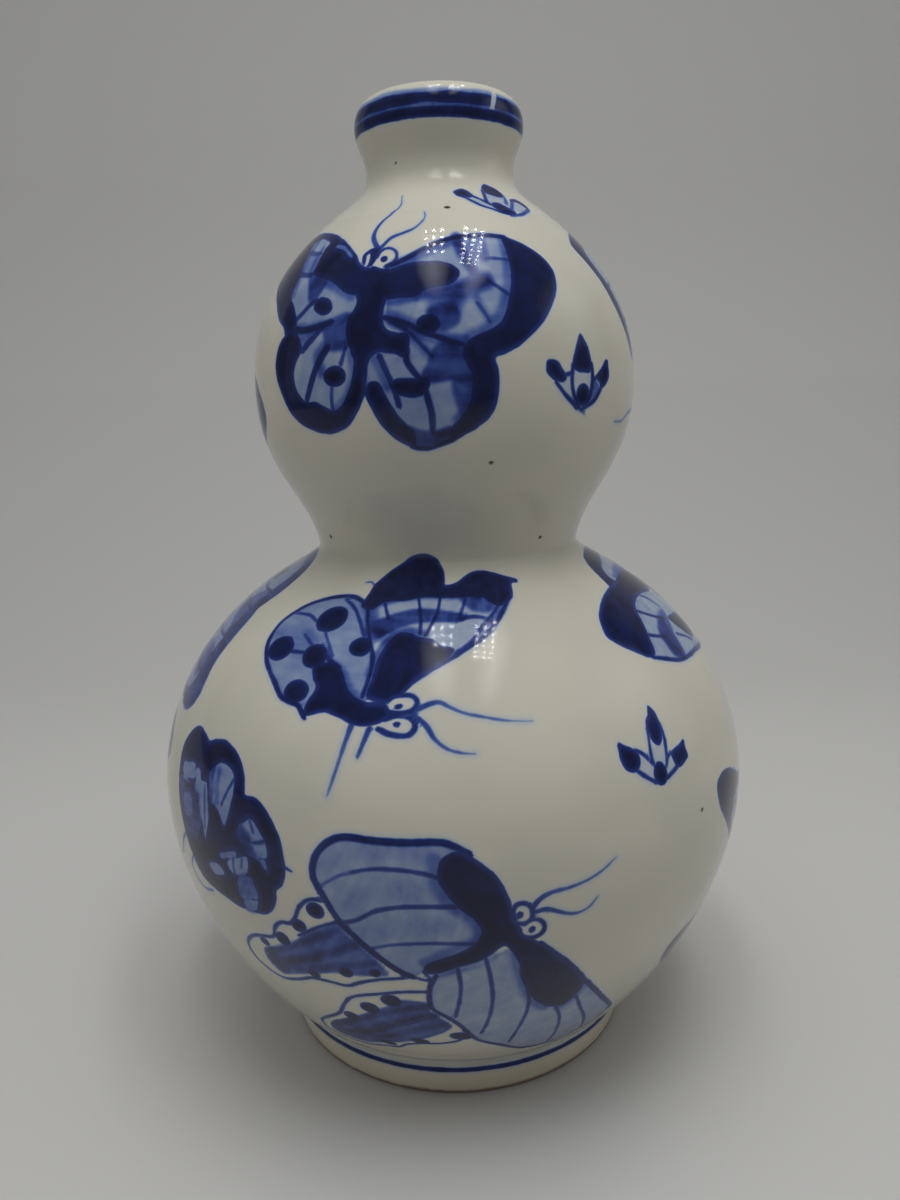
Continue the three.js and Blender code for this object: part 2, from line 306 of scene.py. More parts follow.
# The butterfly under the waist, seen from the side with folded wings
FOLDED_BUTTERFLY = Motif(
    (
        wash("-14,19.3 -17,20.3 -20,20.4 -24,19.7 -28,18.2 -31.5,16.2 -34.5,13 -36,10 -36,7 -35,4 -32.5,1 -29.5,-1.5 "
             "-26,-4 -23,-6.5 -18,-8 -12,-7 -4.5,-6 -4,1 -4.5,5 -6,8 -7,11 -8.5,14 -10.5,17", 0.28),
        wash("-12,18 -7,20.5 -3,21 1,21.6 5,22.2 10,22.2 15,22.2 20,22 24,21 28,20 30.7,19.9 28,16.5 24,12.7 19,8.9 "
             "13,5.5 9,4 6,8 2,9 -3,8 -6,9 -9,12", 0.18),
        mid("-8.5,12.8 -4,15.5 0,17 4,17.8 9,17.5 14,16.5 17,15.8 15,14 10,14 5,13.8 1,12.8 -2,11.2 "
            "-5,9.6", 0.64, 0.5),
        mid("15,21.4 19,22.4 23.4,20.6 25,17.6 22,16.2 18,17.3", 0.52),
        dark("-13.5,18 -13.3,22 -13.3,25 -11,28.5 -8,31 -4,33 0,34 4,34 8,32.8 10.3,30 10.9,27 11,25.3 14,25.7 18,28 "
             "21,29.3 25,29.5 29,28.5 33,27 36,25.9 35.4,24.6 33.4,24.6 32,21.5 31,20.2 28,18.3 25.5,17.8 22,20.8 "
             "18,21.2 14,21 10,21 6,21.3 3,21 0,20.2 -4,19.8 -7,19.2 -9.5,17 -11.5,17"),
        dark("-4,-4.5 -4,0 -3.5,5 -2,9 0,11 3,11 5,10 8,9.5 10,8 13,7 12,5 9,2.5 6,.5 4,-2 1,-5"),
        dark("-18,1.5 -14,2.5 -11,1 -9,-2 -6.5,-4.5 -3.5,-5.3 0,-5.6 1,-7.4 -1,-9.6 -5,-10.3 -9,-9 -12,-8.3 -16,-9.6 "
             "-16.5,-7 -15.5,-3.5 -17,-1.5"),
        dab(-20, 13.4, 4.5, 3.7, 8),
        dab(-29.8, 3.9, 3.8, 3.2),
        dab(-19, 3.6, 3.4, 2.9, -20),
        dab(-8.5, 7, 2.8, 2.4),
        dab(-19.8, -4.8, 3.0, 2.6),
        bare(".4,-5.2 2,-4 4.4,-3.9 5.5,-5 4.4,-6.6 1.8,-6.9 .6,-6.4"),
        bare(".2,-9 2,-8.1 4.4,-8.6 5.3,-9.9 4.2,-11.3 1.6,-11.2 .2,-10.2"),
        dab(2.3, -5.9, 0.9, 0.6, 15),
        dab(2.4, -9.5, 0.75, 0.6),
    ),
    (
        sweep("-9.6,17.6 -8,14.6 -6.6,12.2 -5,10.4", 2.6, load=0.55),
        sweep("-9,18 -4,20.2 1,21 6,21.6 11,21.4 16,21.4 21,21", 1.6, load=0.5),
        sweep("-4.6,1 -3.8,6 -1.8,9.8 2,11.6 6,10.8", 1.8, load=0.5),
        sweep("-13,18.4 -10,15.4 -8,11.6 -6,8", 2.0, load=0.3),
        sweep("24.4,20 27,17.8 24,14.4 20,11.4", 2.2, load=0.34),
        sweep("-27,5.6 -24,7.4 -21,6.6", 5.0, load=0.12),
        sweep("-34,8 -29,9 -25,8", 4.4, load=0.08),
        sweep("-14.4,2.4 -11,.8 -9,-2 -6,-5", 1.8, load=0.4),
        line("15,14.6 18,15.2 21,14.8 23,13.6", 1.3, 0.8, 0.8),
        line("-14,19.3 -17,20.3 -20,20.4 -24,19.7 -28,18.2 -31.5,16.2 -34.5,13 -36,10 -36,7 -35,4 -32.5,1 -29.5,-1.5 "
             "-26,-4 -23,-6.5 -20,-7.3 -18,-7.8 -16,-9.8", 1.2, load=0.86),
        line("-14,19.3 -11,17 -9.5,14 -8,11 -6.5,8 -5,5 -4.5,1 -5,-4", 1.0, load=0.8),
        line("-20,19.5 -15,17 -11,13 -8.5,9.5", 0.9, load=0.7),
        line("-34,13.3 -28,13.4 -24.4,12.2", 0.9, load=0.66),
        line("-26,3.7 -22,4", 1.0, load=0.72),
        line("-25,8.2 -22,6.5 -20,5.6", 0.8, load=0.5),
        line("-18.5,6.2 -15,3.2 -12,1.7", 1.2, load=0.8),
        line("-19.6,9.7 -17,7 -14.5,4", 0.8, load=0.6),
        line("-6.5,19 -5,16.5 -4,15", 0.9, load=0.74),
        line("3,21.3 4,18 4.8,14 5,11", 0.9, load=0.78),
        line("9.5,21 9,17 7.5,13 6.5,10.5", 0.9, load=0.78),
        line("17,20.5 15.5,17 14,14", 0.9, load=0.66),
        line("13.5,6 17,8.5 20,12 23,15 26,18", 0.9, load=0.7),
        line("4,-1 8,2 12,4.5 16,7 20,9.5 23,12 26,15.5 29,19 31,20.5", 1.1, load=0.82),
        line("-13,24.5 -15,25.5 -16.8,25.3", 0.7, 0.6, 0.6),
        line("-1,-5 .6,-4 2.6,-3.5 4.8,-3.6 5.8,-5 4.7,-6.8 2,-7.2 0,-7", 1.1, load=0.86),
        line("0,-8.6 2.2,-7.7 4.7,-8.2 5.7,-9.8 4.5,-11.6 1.6,-11.6 -1,-10.6", 1.2, load=0.86),
        line("5.4,-6.6 8,-5.3 10,-4.9 12,-6 14.5,-7.2 18,-8.2 22,-9.2 26.5,-9.8", 1.3, 0.35, 0.7),
        line("5.2,-7.6 7.5,-9.5 9,-12 11,-14 13.5,-15 16,-15.3", 1.3, 0.4, 0.72),
        line("-6,-10 -6.7,-14 -7.5,-19 -8.6,-24.5", 1.2, 0.4, 0.66),
        line("-2.5,-10.5 -3.3,-13.5 -4,-16.2", 1.1, 0.8, 0.72),
    ),
    24.0,
)

# The largest butterfly, above the foot, with two veined wings and two striped ones
VEINED_BUTTERFLY = Motif(
    (
        wash("-30.8,17 -29.8,20.5 -27.2,23.2 -23,24.3 -14,24.1 -6,24.3 -3,23.4 0,20 3,14 5,8 6,3 1,0 -6,-3 -9,-4.6 "
             "-11.5,-6.4 -14.5,-5.2 -18,-2.2 -22,1.8 -26,6.3 -28.6,10.8 -30.5,14", 0.25),
        wash("-8.6,-7 -5,-5 2,-3 6,0 9,1 14,.5 20,-5.6 27,-14.6 31,-19.4 36,-25.4 40,-30 42.5,-34 41,-38.5 36,-42 "
             "30,-44 24,-43.5 18,-42.5 14,-40.2 10,-37 5,-34 2,-31 -1,-26.5 -4,-22.5 -7,-19 -8.6,-15.5 "
             "-8.7,-11", 0.21),
        mid("-26,6.5 -30,3.8 -34,1.5 -38,-2.5 -43,-5.5 -48,-8 -48.4,-12 -45,-14.7 -40,-12.8 -35,-10.8 -30,-8.8 "
            "-26,-8.2 -21,-7.6 -17,-6.6 -18.5,-3 -22,1 -25,4", 0.52, 0.4),
        mid("-9.3,-15 -15,-14.3 -18,-16.8 -23,-20.3 -27,-23.3 -32,-26.8 -37,-30.5 -40,-34.5 -40.5,-38 -36,-40 "
            "-30,-39.5 -24,-37 -19,-35 -15,-33 -10,-30 -6,-27 -4.3,-24 -6.8,-20.5 -8.8,-18", 0.6, 0.4),
        dark("-6,19 -5,21.3 -2.5,22.6 0,21.8 3,19.7 5.5,17 7,14 8,11 8.5,8 10,5.5 12,3 15,.3 18,-3 21,-6.5 24,-10 "
             "26,-13.5 26,-16.5 24,-20 22,-21.3 19,-20.5 16.5,-18.5 14,-15.5 12,-11.5 10.5,-7.5 10,-4 8.5,-.5 "
             "6.7,1.5 4.4,-.4 1.8,-2 -1,-3 -4,-4.2 -7,-5.3 -9.3,-5.3 -9,-3 -6,-1.2 -2.5,.3 .5,2.3 2.2,5 1,8 "
             "-1.5,10.5 -4,13.5 -5.8,16.5"),
        dab(-31, 7.7, 2.1, 1.9),
        dab(-35.5, 2.9, 1.9, 1.7),
        dab(-40.8, -2.3, 2.0, 1.8),
        dab(-47, -5.5, 1.4, 1.2),
        dab(-26.5, -7.7, 1.6, 1.5),
        dab(-19.8, -6.4, 1.3, 1.2),
        dab(-34.8, -10.8, 1.5, 1.3),
        dab(-17.5, -15, 2.4, 2.2),
        dab(-23.2, -19, 2.4, 2.1),
        dab(-29.3, -24.5, 2.2, 1.9),
        dab(-2, -29.3, 3.1, 2.0, -12),
        dab(-13, -32.6, 2.6, 1.4, -10),
        dab(-22.5, -36.5, 2.4, 1.3, -15),
        bare("8.4,9.6 9.2,10.7 10.6,10.7 11.7,9.6 11.8,7.8 10.5,6.6 9,7.2"),
        bare("10.2,5.6 11.6,6.8 13.4,6.6 14.3,5.2 13.8,3.7 12.3,3 10.7,3.6"),
        dab(9.6, 8.5, 0.75, 0.85),
        dab(12.1, 4.8, 0.75, 0.85),
    ),
    (
        sweep("-6.5,20.6 -6.4,17 -3.6,12 .4,9 2,5.4", 3.0, load=0.36),
        sweep("2,3.4 -3,1.4 -9,-2.4", 2.4, load=0.32),
        sweep("-29,18 -22,21.6 -12,22 -8,21.6", 3.0, load=0.08),
        sweep("-26,10 -18,13.6 -8,14.4", 4.4, load=0.07),
        sweep("-22,4 -15,6 -6,6.6", 4.4, load=0.08),
        sweep("9.4,-1 10,-5 11.4,-10 13.6,-15.6 17.6,-20.2", 2.4, load=0.32),
        sweep("-7,-5.6 -2,-3.4 4,-.6", 2.4, load=0.32),
        sweep("22,-21.6 25,-18.6 27,-15", 2.4, load=0.3),
        sweep("-26,4.4 -33,0 -41,-4.8 -47,-8.6", 1.6, 2.0, 0.4),
        sweep("-23,1 -30,-3.2 -38,-7.6 -46.4,-11.4", 2.0, 2.6, 0.5),
        sweep("-20,-3.6 -27,-5.8 -34,-8.6 -44,-12.8", 1.6, 2.2, 0.42),
        sweep("-45.6,-8 -46.6,-10.6 -45.4,-13.4", 3.0, load=0.4),
        sweep("-9.5,-16 -17,-18.6 -25,-23.6 -33,-29.4 -38,-33.4", 1.8, 2.2, 0.45),
        sweep("-8,-19.4 -15,-22.4 -23,-27.4 -32,-33.6 -38,-37", 2.2, 2.8, 0.5),
        sweep("-6,-23.4 -12,-26 -19,-30.4 -27,-36", 1.8, 2.2, 0.45),
        line("-12,-6.5 -14.5,-5 -18,-2 -22,2 -26,6.5 -28.5,11 -30.6,14.5 -30.9,17.5 -29.8,20.5 -27.4,23.1 -24,24.4 "
             "-18,24.2 -12,24.2 -6,24.4 -3,23.7 0,22", 1.5, load=0.88),
        line("-6,17.5 -9,18.3 -14,18.8 -19,18.5 -23,17.4", 1.0, 0.8, 0.76),
        line("-23,17.4 -26,16 -29,13.8", 0.8, 0.6, 0.45),
        line("-3,11.3 -8,11.3 -13,11 -18,9.8 -22,7.2 -25.4,5.9", 1.0, load=0.7),
        line("1,2.5 -5,2.8 -10,2.7 -15,2 -19,.8", 1.0, 0.7, 0.64),
        line("-9.3,-5 -8.4,-7.4 -12,-6.5", 0.9, load=0.76),
        line("-7,-6 -8.3,-9 -8.8,-13 -8.3,-17 -5.5,-20 -2.5,-23.5 0,-28 2,-31.5 5.5,-34.3 9.5,-37 13,-39.8 17,-42.3 "
             "24,-43.7 30,-44.2 36,-42.2 41,-38.6 43,-34", 1.2, load=0.84),
        line("14,1 18,-3 22,-7.5 26,-13 30,-18 34,-23 38,-27.6 41.4,-31.4 43,-34", 1.3, load=0.86),
        line("-2.5,-4 -2,-9 -2.3,-14 -3.3,-20", 0.9, load=0.72),
        line("3,-1 4,-6 4.8,-12 4.8,-18 4,-24 3,-28", 0.9, load=0.7),
        line("11.5,-9 12.7,-13 13.3,-17 13.2,-22 12.3,-28 11.2,-35", 0.9, load=0.7),
        line("20.5,-21 22.5,-25 24,-30 25,-37 25.2,-42", 0.9, load=0.7),
        line("25.5,-19 28.5,-25 31.5,-30 34.5,-36 36,-40.5", 0.9, load=0.7),
        line("-28,10.5 -32,10 -34.6,7.7 -36,4.8 -37.6,2.9 -40.2,2.3 -42.2,.3 -43.2,-2.4 -46,-3.6 -49.6,-4.8 -53,-7.4 "
             "-54.6,-10.6 -53.6,-14 -50,-16.3 -46,-16.8 -41,-15 -36,-12.4 -31,-12 -27,-12 -23.5,-10 -19,-8.2 "
             "-13.5,-7", 1.0, load=0.84),
        line("-26,6.2 -31,3.6 -36,.2", 0.8, load=0.8),
        line("-9,-11 -14,-11.5 -19,-12.8 -24,-14.5 -27.5,-16.5 -30,-20 -32.6,-24.4 -37,-28.2 -41.4,-32 -43.6,-36 "
             "-42.6,-39.6 -37,-41.4 -30,-41 -24,-39", 1.0, load=0.84),
        line("-24,-39 -20,-38.4 -17,-35.6 -13,-34.2 -8,-33.6 -3.4,-32.2 -.2,-29 -1.4,-26.4", 1.0, load=0.84),
        line("-12,-22.5 -18,-26 -25,-31 -31,-36", 0.7, load=0.55),
        line("8.6,7.4 8.2,9.6 9,10.9 10.6,11 11.9,9.8 12.1,7.8 10.8,6.5 9.2,6.6", 1.1, load=0.84),
        line("10.6,6.2 12,7.1 13.6,6.8 14.7,5.2 14.1,3.5 12.4,2.7 10.7,3.2", 1.1, load=0.84),
        line("12,9.6 13.5,11.5 16,12.6 20,13 24,13.9 27,15.2 29.8,17", 1.3, 0.4, 0.74),
        line("12,8.6 15,9 19,7.3 21.5,6.8 24,7.6 25.7,9.4", 1.2, 0.4, 0.74),
    ),
    30.0,
)

# The dark butterfly at the left of the large bulb
DARK_BUTTERFLY = Motif(
    (
        dark("-22.5,9 -21,12 -18.5,14.5 -15.5,15.5 -12,14.8 -9.5,13.8 -7,14.8 -3.5,15.4 0,14.8 3.5,13 5.8,10.3 "
             "6.8,7.5 7.2,6.2 10,6.3 13,5 15.5,2.5 17.5,-.5 18.6,-4 18.8,-7.5 17.8,-10.5 16.2,-12 15.8,-14.5 "
             "14.2,-17.5 11.5,-19.3 8,-19.8 4,-20.2 0,-19.8 -4,-19.3 -8,-18.8 -11,-17.5 -14,-14 -16.5,-10 -19,-5 "
             "-21,0 -22.2,4.5"),
        cell("-20.6,3.4 -18.6,3 -12,3.4 -8.6,3.2 -7.6,-3 -8.6,-7 -11,-9.4 -14.4,-8.6 -18,-3 -20.4,1", 0.74),
        cell("6.1,-.2 7.8,.4 9.6,-1 11,-3.2 12.2,-6.4 8.6,-5.6 5.8,-2.8", 0.72),
        cell("-6.2,7.6 -4.6,9.4 -3.2,9.8 -3.6,6 -2.8,2.2 -4,1.4 -5.2,4.4", 0.58),
        cell("-19.4,6.2 -17.4,6.8 -13.6,7.7 -12.6,6.4 -12.3,4.6 -15,3.6 -17.8,3.2 -19.6,4.2", 0.32),
        cell("-12.2,7 -10.4,7 -9.4,5.4 -8.4,3.4 -9.6,2.8 -11,2.8 -11.8,4.6", 0.32),
        cell("-16.6,-.8 -13.4,-.1 -12.6,-1.6 -12.8,-3.6 -15,-4.4 -16.4,-2.8", 0.42),
        cell("-9.3,4.4 -7.6,5.2 -6.4,4.8 -5.2,1.4 -4.6,-2 -5.2,-5 -6.1,-7.4 -6.7,-4.6 -8.3,.5", 0.32),
        cell("-3.4,9.9 -1.6,10.8 .3,10.6 1.8,9.9 2.9,8.6 3.3,5.5 2.6,1.1 1.3,-2 0,-.4 -1,.7 -2.6,1.9 -3.2,5"),
        cell("7.8,.4 9.3,1.8 10.9,1 12.5,-.6 13.6,-2 14.2,-3.4 14.1,-5.3 12.5,-5.6 11.2,-4.5 10.6,-2.8 "
             "9.6,-1.2", 0.34),
        cell("12.1,-6.2 13.6,-6 14.3,-8.2 13,-7.6", 0.4),
        cell("-.5,-8.6 2,-7.4 5.2,-6.5 4.6,-8 2.2,-8.8 0,-9.6", 0.4),
        cell("2.2,-9.5 5.2,-8 8.4,-6.6 8.8,-8.6 8.1,-10.7 6,-11.6 3.8,-12 2.4,-11", 0.3),
        cell("-5.7,-12.9 -3.8,-12 -1.9,-11.5 -.4,-12 .5,-13.3 -1.6,-14.2 -3.6,-14.6", 0.3),
        cell("5,-12.6 7,-11.6 9.1,-11 10.2,-13 10.8,-15.4 8.4,-16.4 5.2,-17.2 4.6,-15", 0.58),
        cell("5.7,-17.9 8,-16.9 10.4,-16.3 10,-17.8 9.2,-19.2 6.4,-19.8", 0.42),
    ),
    (
        sweep("-2.6,9 -2.4,5.6 -1.8,2.4", 1.2, load=0.3),
        line("2.9,8.4 1.4,5.6 0,2.6", 0.8, load=0.62),
        line("10.6,-3 12,-2.6 13.4,-2", 0.9, load=0.7),
        line("9.2,1.4 10.4,-.8", 0.7, load=0.5),
        line("4.2,-8.2 4,-10 4.4,-12", 0.8, load=0.5),
        line("7,-7.4 6.6,-9.4", 0.7, load=0.45),
        line("-7.2,4.2 -6.4,0 -6,-4.6", 0.7, load=0.45),
        line("18.4,-6.2 20.2,-6.7", 0.9, 0.6, 0.8),
        line("-14,-14.6 -16,-17.4 -15,-20 -11.4,-21.6 -6.6,-20.2", 0.9, load=0.5),
        line("-16.4,-9.6 -19.4,-12.6 -21.6,-16.4 -24.4,-18.2", 0.9, 0.6, 0.5),
    ),
    60.0,
)

# The butterfly at the large bulb's left shoulder, of which the photograph shows the edge of one wing
SHOULDER_BUTTERFLY = Motif(
    (
        wash("-27,21 -18,23 -12,22.8 -6,21.5 -2,19.5 .3,16 .6,11 .3,4 0,-4 0,-12 .3,-17 -2,-20.2 -7,-21.4 -14,-17 "
             "-22,-9 -28,-4", 0.3),
        wash("-35,19 -42,23 -50,23 -57,18 -60,9 -59,-2 -54,-9 -46,-11 -39,-8 -34,-3", 0.3),
        mid("0,9.5 -5,9.2 -9,6 -12,3 -8,1 -4,-2 0,-4.5"),
        mid("0,-10 -5,-8 -10,-9 -14,-13 -8,-15 -2,-17"),
        mid("-58,12 -53,11 -49,6 -52,1 -59,0"),
        mid("-27,23 -18,26 -10,25.8 -5,25 -1,23.5 2,21.5 4.5,19 6,16 6.5,13 6.2,10 5,7 4.3,5 5.3,2 5.5,-3 5.3,-8 "
            "5.5,-12 6.5,-16 6.8,-19 5.5,-22 3,-24 0,-24.3 -4,-23.5 -9,-22.4 -8,-20.4 -4,-21 -1.4,-19 -.3,-15 -.5,-8 "
            "-.3,0 0,6 .3,11 0,16 -2,19.4 -6,21.4 -12,22.7 -20,22.6", 0.74, 0.4),
        dark("-37,23 -43,26.4 -51,26 -60,20.6 -64,10 -63,-3 -57,-12 -48,-14.6 -40,-12 -39.4,-9.6 -46,-11.4 -53,-9.4 "
             "-58.6,-2 -59.6,9 -56.4,17.4 -50,22.6 -43,22.6 -37.6,20.6"),
        dark("-31.4,20 -29.4,14 -28.6,4 -28.8,-6 -30.6,-13 -32.4,-13 -34,-6 -34.4,4 -33.6,14"),
        dab(-14, 14.4, 3.2, 2.6),
        dab(-16.4, -3.4, 3.0, 2.4),
        dab(-48, 15.6, 3.0, 2.5),
        dab(-46, -2.6, 2.8, 2.3),
        bare("-33.4,-13.4 -34.6,-14.6 -34.4,-16.6 -32.8,-17.2 -31.6,-15.8 -31.9,-14.1"),
        bare("-29.4,-13.4 -28.2,-14.6 -28.4,-16.6 -30,-17.2 -31.2,-15.8 -30.9,-14.1"),
        dab(-33.2, -15.4, 0.8, 0.8),
        dab(-29.6, -15.4, 0.8, 0.8),
    ),
    (
        line("0,10.2 -8,10.2 -18,11 -28.6,9", 0.9, load=0.66),
        line("0,4 -8,4.4 -20,5 -28.6,4", 0.9, load=0.66),
        line("0,-5 -10,-5 -20,-3 -28.6,-1", 0.9, load=0.66),
        line("0,-15 -8,-14 -18,-9 -28.6,-5", 0.9, load=0.62),
        line("-28,22.6 -28.6,20.4 -29.8,16", 1.0, load=0.8),
        line("-7,-22 -14,-17.6 -22,-9.6 -28.6,-6.4", 1.1, load=0.82),
        line("-34.4,6 -42,8 -50,12 -57,15", 0.9, load=0.66),
        line("-34.4,2 -44,3 -54,4 -60,4", 0.9, load=0.66),
        line("-34,-3 -42,-5 -50,-6 -56,-6", 0.9, load=0.66),
        line("-34,16 -37,20.4 -40,22.6", 1.0, load=0.8),
        line("-34,-5 -37,-8.6 -40,-10.6", 1.0, load=0.8),
        line("-33.4,-13.2 -34.8,-14.4 -34.7,-16.7 -32.8,-17.5 -31.3,-15.8 -31.8,-13.8", 0.8, load=0.84),
        line("-29.4,-13.2 -28,-14.4 -28.1,-16.7 -30,-17.5 -31.5,-15.8 -31,-13.8", 0.8, load=0.84),
        line("-33.2,-17.6 -34.6,-20 -37.6,-21.4 -41.6,-21", 1.1, 0.4, 0.72),
        line("-30.2,-17.6 -30.4,-20.4 -32.6,-23 -36.4,-24.4", 1.1, 0.4, 0.72),
    ),
    0.0,
)

# The butterfly at the large bulb's right shoulder
RIGHT_BUTTERFLY = Motif(
    (
        wash("-5.5,3.8 -2,5.5 3,6.2 8,6 14,4.5 20,2.5 23,-3 19,-13.5 12,-13 6,-12.2 0,-11.8 -6,-10.8 -12.7,-8.5 "
             "-10.5,-4.5 -8.5,-1 -7,1.5"),
        wash(".3,11.7 .6,14.5 3,16.9 8,18.5 16,19.3 26,18.2 30,12 20,9 12,10.8 6,11.6"),
        mid("-5.7,-5 -4,-2.8 0,-.8 4,.2 8,-.3 5,-3 1.4,-6 0,-9.5 -1.2,-11.5 -4,-11.2 -6,-9 -5.7,-6.5"),
        mid("-5.7,-5 -4,-2.8 0,-.8 2,-2 0,-5 -1,-9.5 -2,-11.4 -4,-11.2 -6,-9 -5.7,-6.5"),
        mid("3,13.4 8,14.8 16,15.4 24,14 20,11 12,11.6"),
        dark("-22.8,0 -22,3 -20,5.8 -17,8 -13,10 -9,11.2 -5,11.9 0,12.4 6,13.2 12,13.2 18,11.4 21,8 17,4.4 8,6 3,6.2 "
             "-2,5.5 -5.5,3.8 -7,1.5 -8.5,-1 -10,-3.5 -11.5,-6.5 -13,-8 -15.5,-7.3 -18.5,-5 -21.5,-2.2"),
        dark("-5.3,11.7 -5,14 -3.5,17 -1,20 3,22.3 8,23.2 14,23.8 22,23.5 30,22 29,19 20,19.5 12,18.7 6,17.8 "
             "2.5,16.5 .5,14.5 0,12"),
        dark("6,-2.6 12,-3 18,-4.6 20,-9 14,-11 9,-8"),
        dark("17,13 22,11 26,4 28,-6 26,-13 22.5,-9 21,0 18.5,6"),
        bare("23.4,-13.2 25,-12.6 26.2,-14 25.8,-15.8 24,-16.2 22.8,-15"),
        bare("27,-12.2 28.6,-11.4 30,-12.6 29.8,-14.4 28,-15 26.8,-14"),
        dab(24.5, -14.5, 0.75, 0.75),
        dab(28.4, -13.3, 0.75, 0.75),
    ),
    (
        line("-6,3.5 -3,1.5 0,-.2 3,-1.5", 1.0, load=0.8),
        line("-10,-2.8 -7,-4 -4,-5.2", 1.0, load=0.76),
        line("-13.5,-8 -9,-9.8 -5,-11.3 0,-11.9 6,-12.3 12,-13.3 19,-14.4", 1.1, load=0.84),
        line("3,-6.5 6,-8 10,-10.5", 0.9, load=0.7),
        line("4,6 6.5,4 8,1", 0.9, load=0.66),
        line("23.2,-13 25,-12.3 26.5,-13.9 26.1,-16 24,-16.5 22.5,-15.1 23.2,-13", 0.8, load=0.84),
        line("26.9,-12 28.6,-11.1 30.3,-12.5 30.1,-14.6 28,-15.3 26.5,-14.1 26.9,-12", 0.8, load=0.84),
        line("25.6,-16.4 27.6,-19.4 31.4,-21 36,-20.8", 1.1, 0.4, 0.72),
        line("30.2,-13.6 33,-15 36.4,-14.6 40,-12", 1.1, 0.4, 0.72),
    ),
    10.0,
)

# The butterfly at the small bulb's right side, of which the photograph shows the edge of one wing
UPPER_BUTTERFLY = Motif(
    (
        wash(".3,8.2 4,10.7 10,12.2 18,11.5 25,9 28,3 27,-5 22,-14 17,-20 12,-18 8.3,-16 6.8,-11 4.3,-5 2.3,0 .3,4"),
        wash("20,-21 28,-20 38,-16 45,-11 48,-3 44,3 38,4 33,0 28,-7 23,-15"),
        mid("10,8 16,8.6 21,4 18,-2 12,-1"),
        mid("34,-12 40,-11 43,-6 38,-4 34,-7"),
        dark("-6,9 -4.5,11.5 -1,13.6 4,15.5 10,16.5 20,15 27,11.4 31,5 31.4,.6 28.4,1 27,5.6 23,9.6 18,11.5 10,12 "
             "4,10.5 .5,8 .5,4 2.5,0 4.5,-5 7,-11 8.5,-16 6.5,-16.5 3.5,-11.5 .5,-6 -1.8,0 -4,4.5"),
        dark("36,-17.6 43,-15.4 49.6,-10 52,-2 49,5 42,8 36.4,6.6 33.4,2.4 36,1.6 39,4 44,2.6 47.4,-3 45.4,-9.6 "
             "40,-13.6"),
        dark("15.6,-26 18.4,-27 20.8,-25 24.6,-18 29.6,-9 33.4,-1.6 33,1.6 30,.8 25.6,-6 20.6,-14 16,-21.4"),
        dab(14, 3, 2.6, 2.0),
        dab(20.4, -5.4, 2.4, 2.0),
        dab(39.4, -7.4, 2.5, 2.0),
        bare("13.6,-23.8 15.2,-23 16.6,-24.2 16.2,-26 14.4,-26.6 13,-25.4"),
        bare("17,-28.4 18.6,-27.4 20.2,-28.4 20,-30.2 18.2,-31 16.8,-30"),
        dab(14.9, -24.8, 0.75, 0.75),
        dab(18.5, -29.2, 0.75, 0.75),
    ),
    (
        line("26.4,-5 18,1 10,1.6 2.5,0", 0.9, load=0.66),
        line("22,-13 15,-8 5.5,-8", 0.9, load=0.66),
        line("28.6,-1 21,6 14,11.6", 0.9, load=0.66),
        line("28.6,-9 36,-8 45.4,-7", 0.9, load=0.66),
        line("30.4,-5.4 37,-1.6 44,1.6", 0.9, load=0.66),
        line("24,-17 32,-16 40,-13.6", 0.9, load=0.6),
        line("8.5,-16 12,-18.4 17,-21.4", 1.0, load=0.8),
        line("20.4,-22 28,-20.8 37,-17.4", 1.0, load=0.8),
        line("13.4,-23.6 15.2,-22.7 16.9,-24.1 16.5,-26.2 14.3,-26.9 12.7,-25.4 13.4,-23.6", 0.8, load=0.84),
        line("16.8,-28.2 18.6,-27.1 20.5,-28.3 20.3,-30.4 18.2,-31.3 16.5,-30.1 16.8,-28.2", 0.8, load=0.84),
        line("13.2,-27 10.4,-28.6 6,-28.8 2.5,-30 0,-31 -3.5,-31", 1.1, 0.7, 0.44),
        line("16.6,-31 14.6,-33.6 11,-35.4 7.6,-35.6", 1.1, 0.4, 0.7),
    ),
    0.0,
)

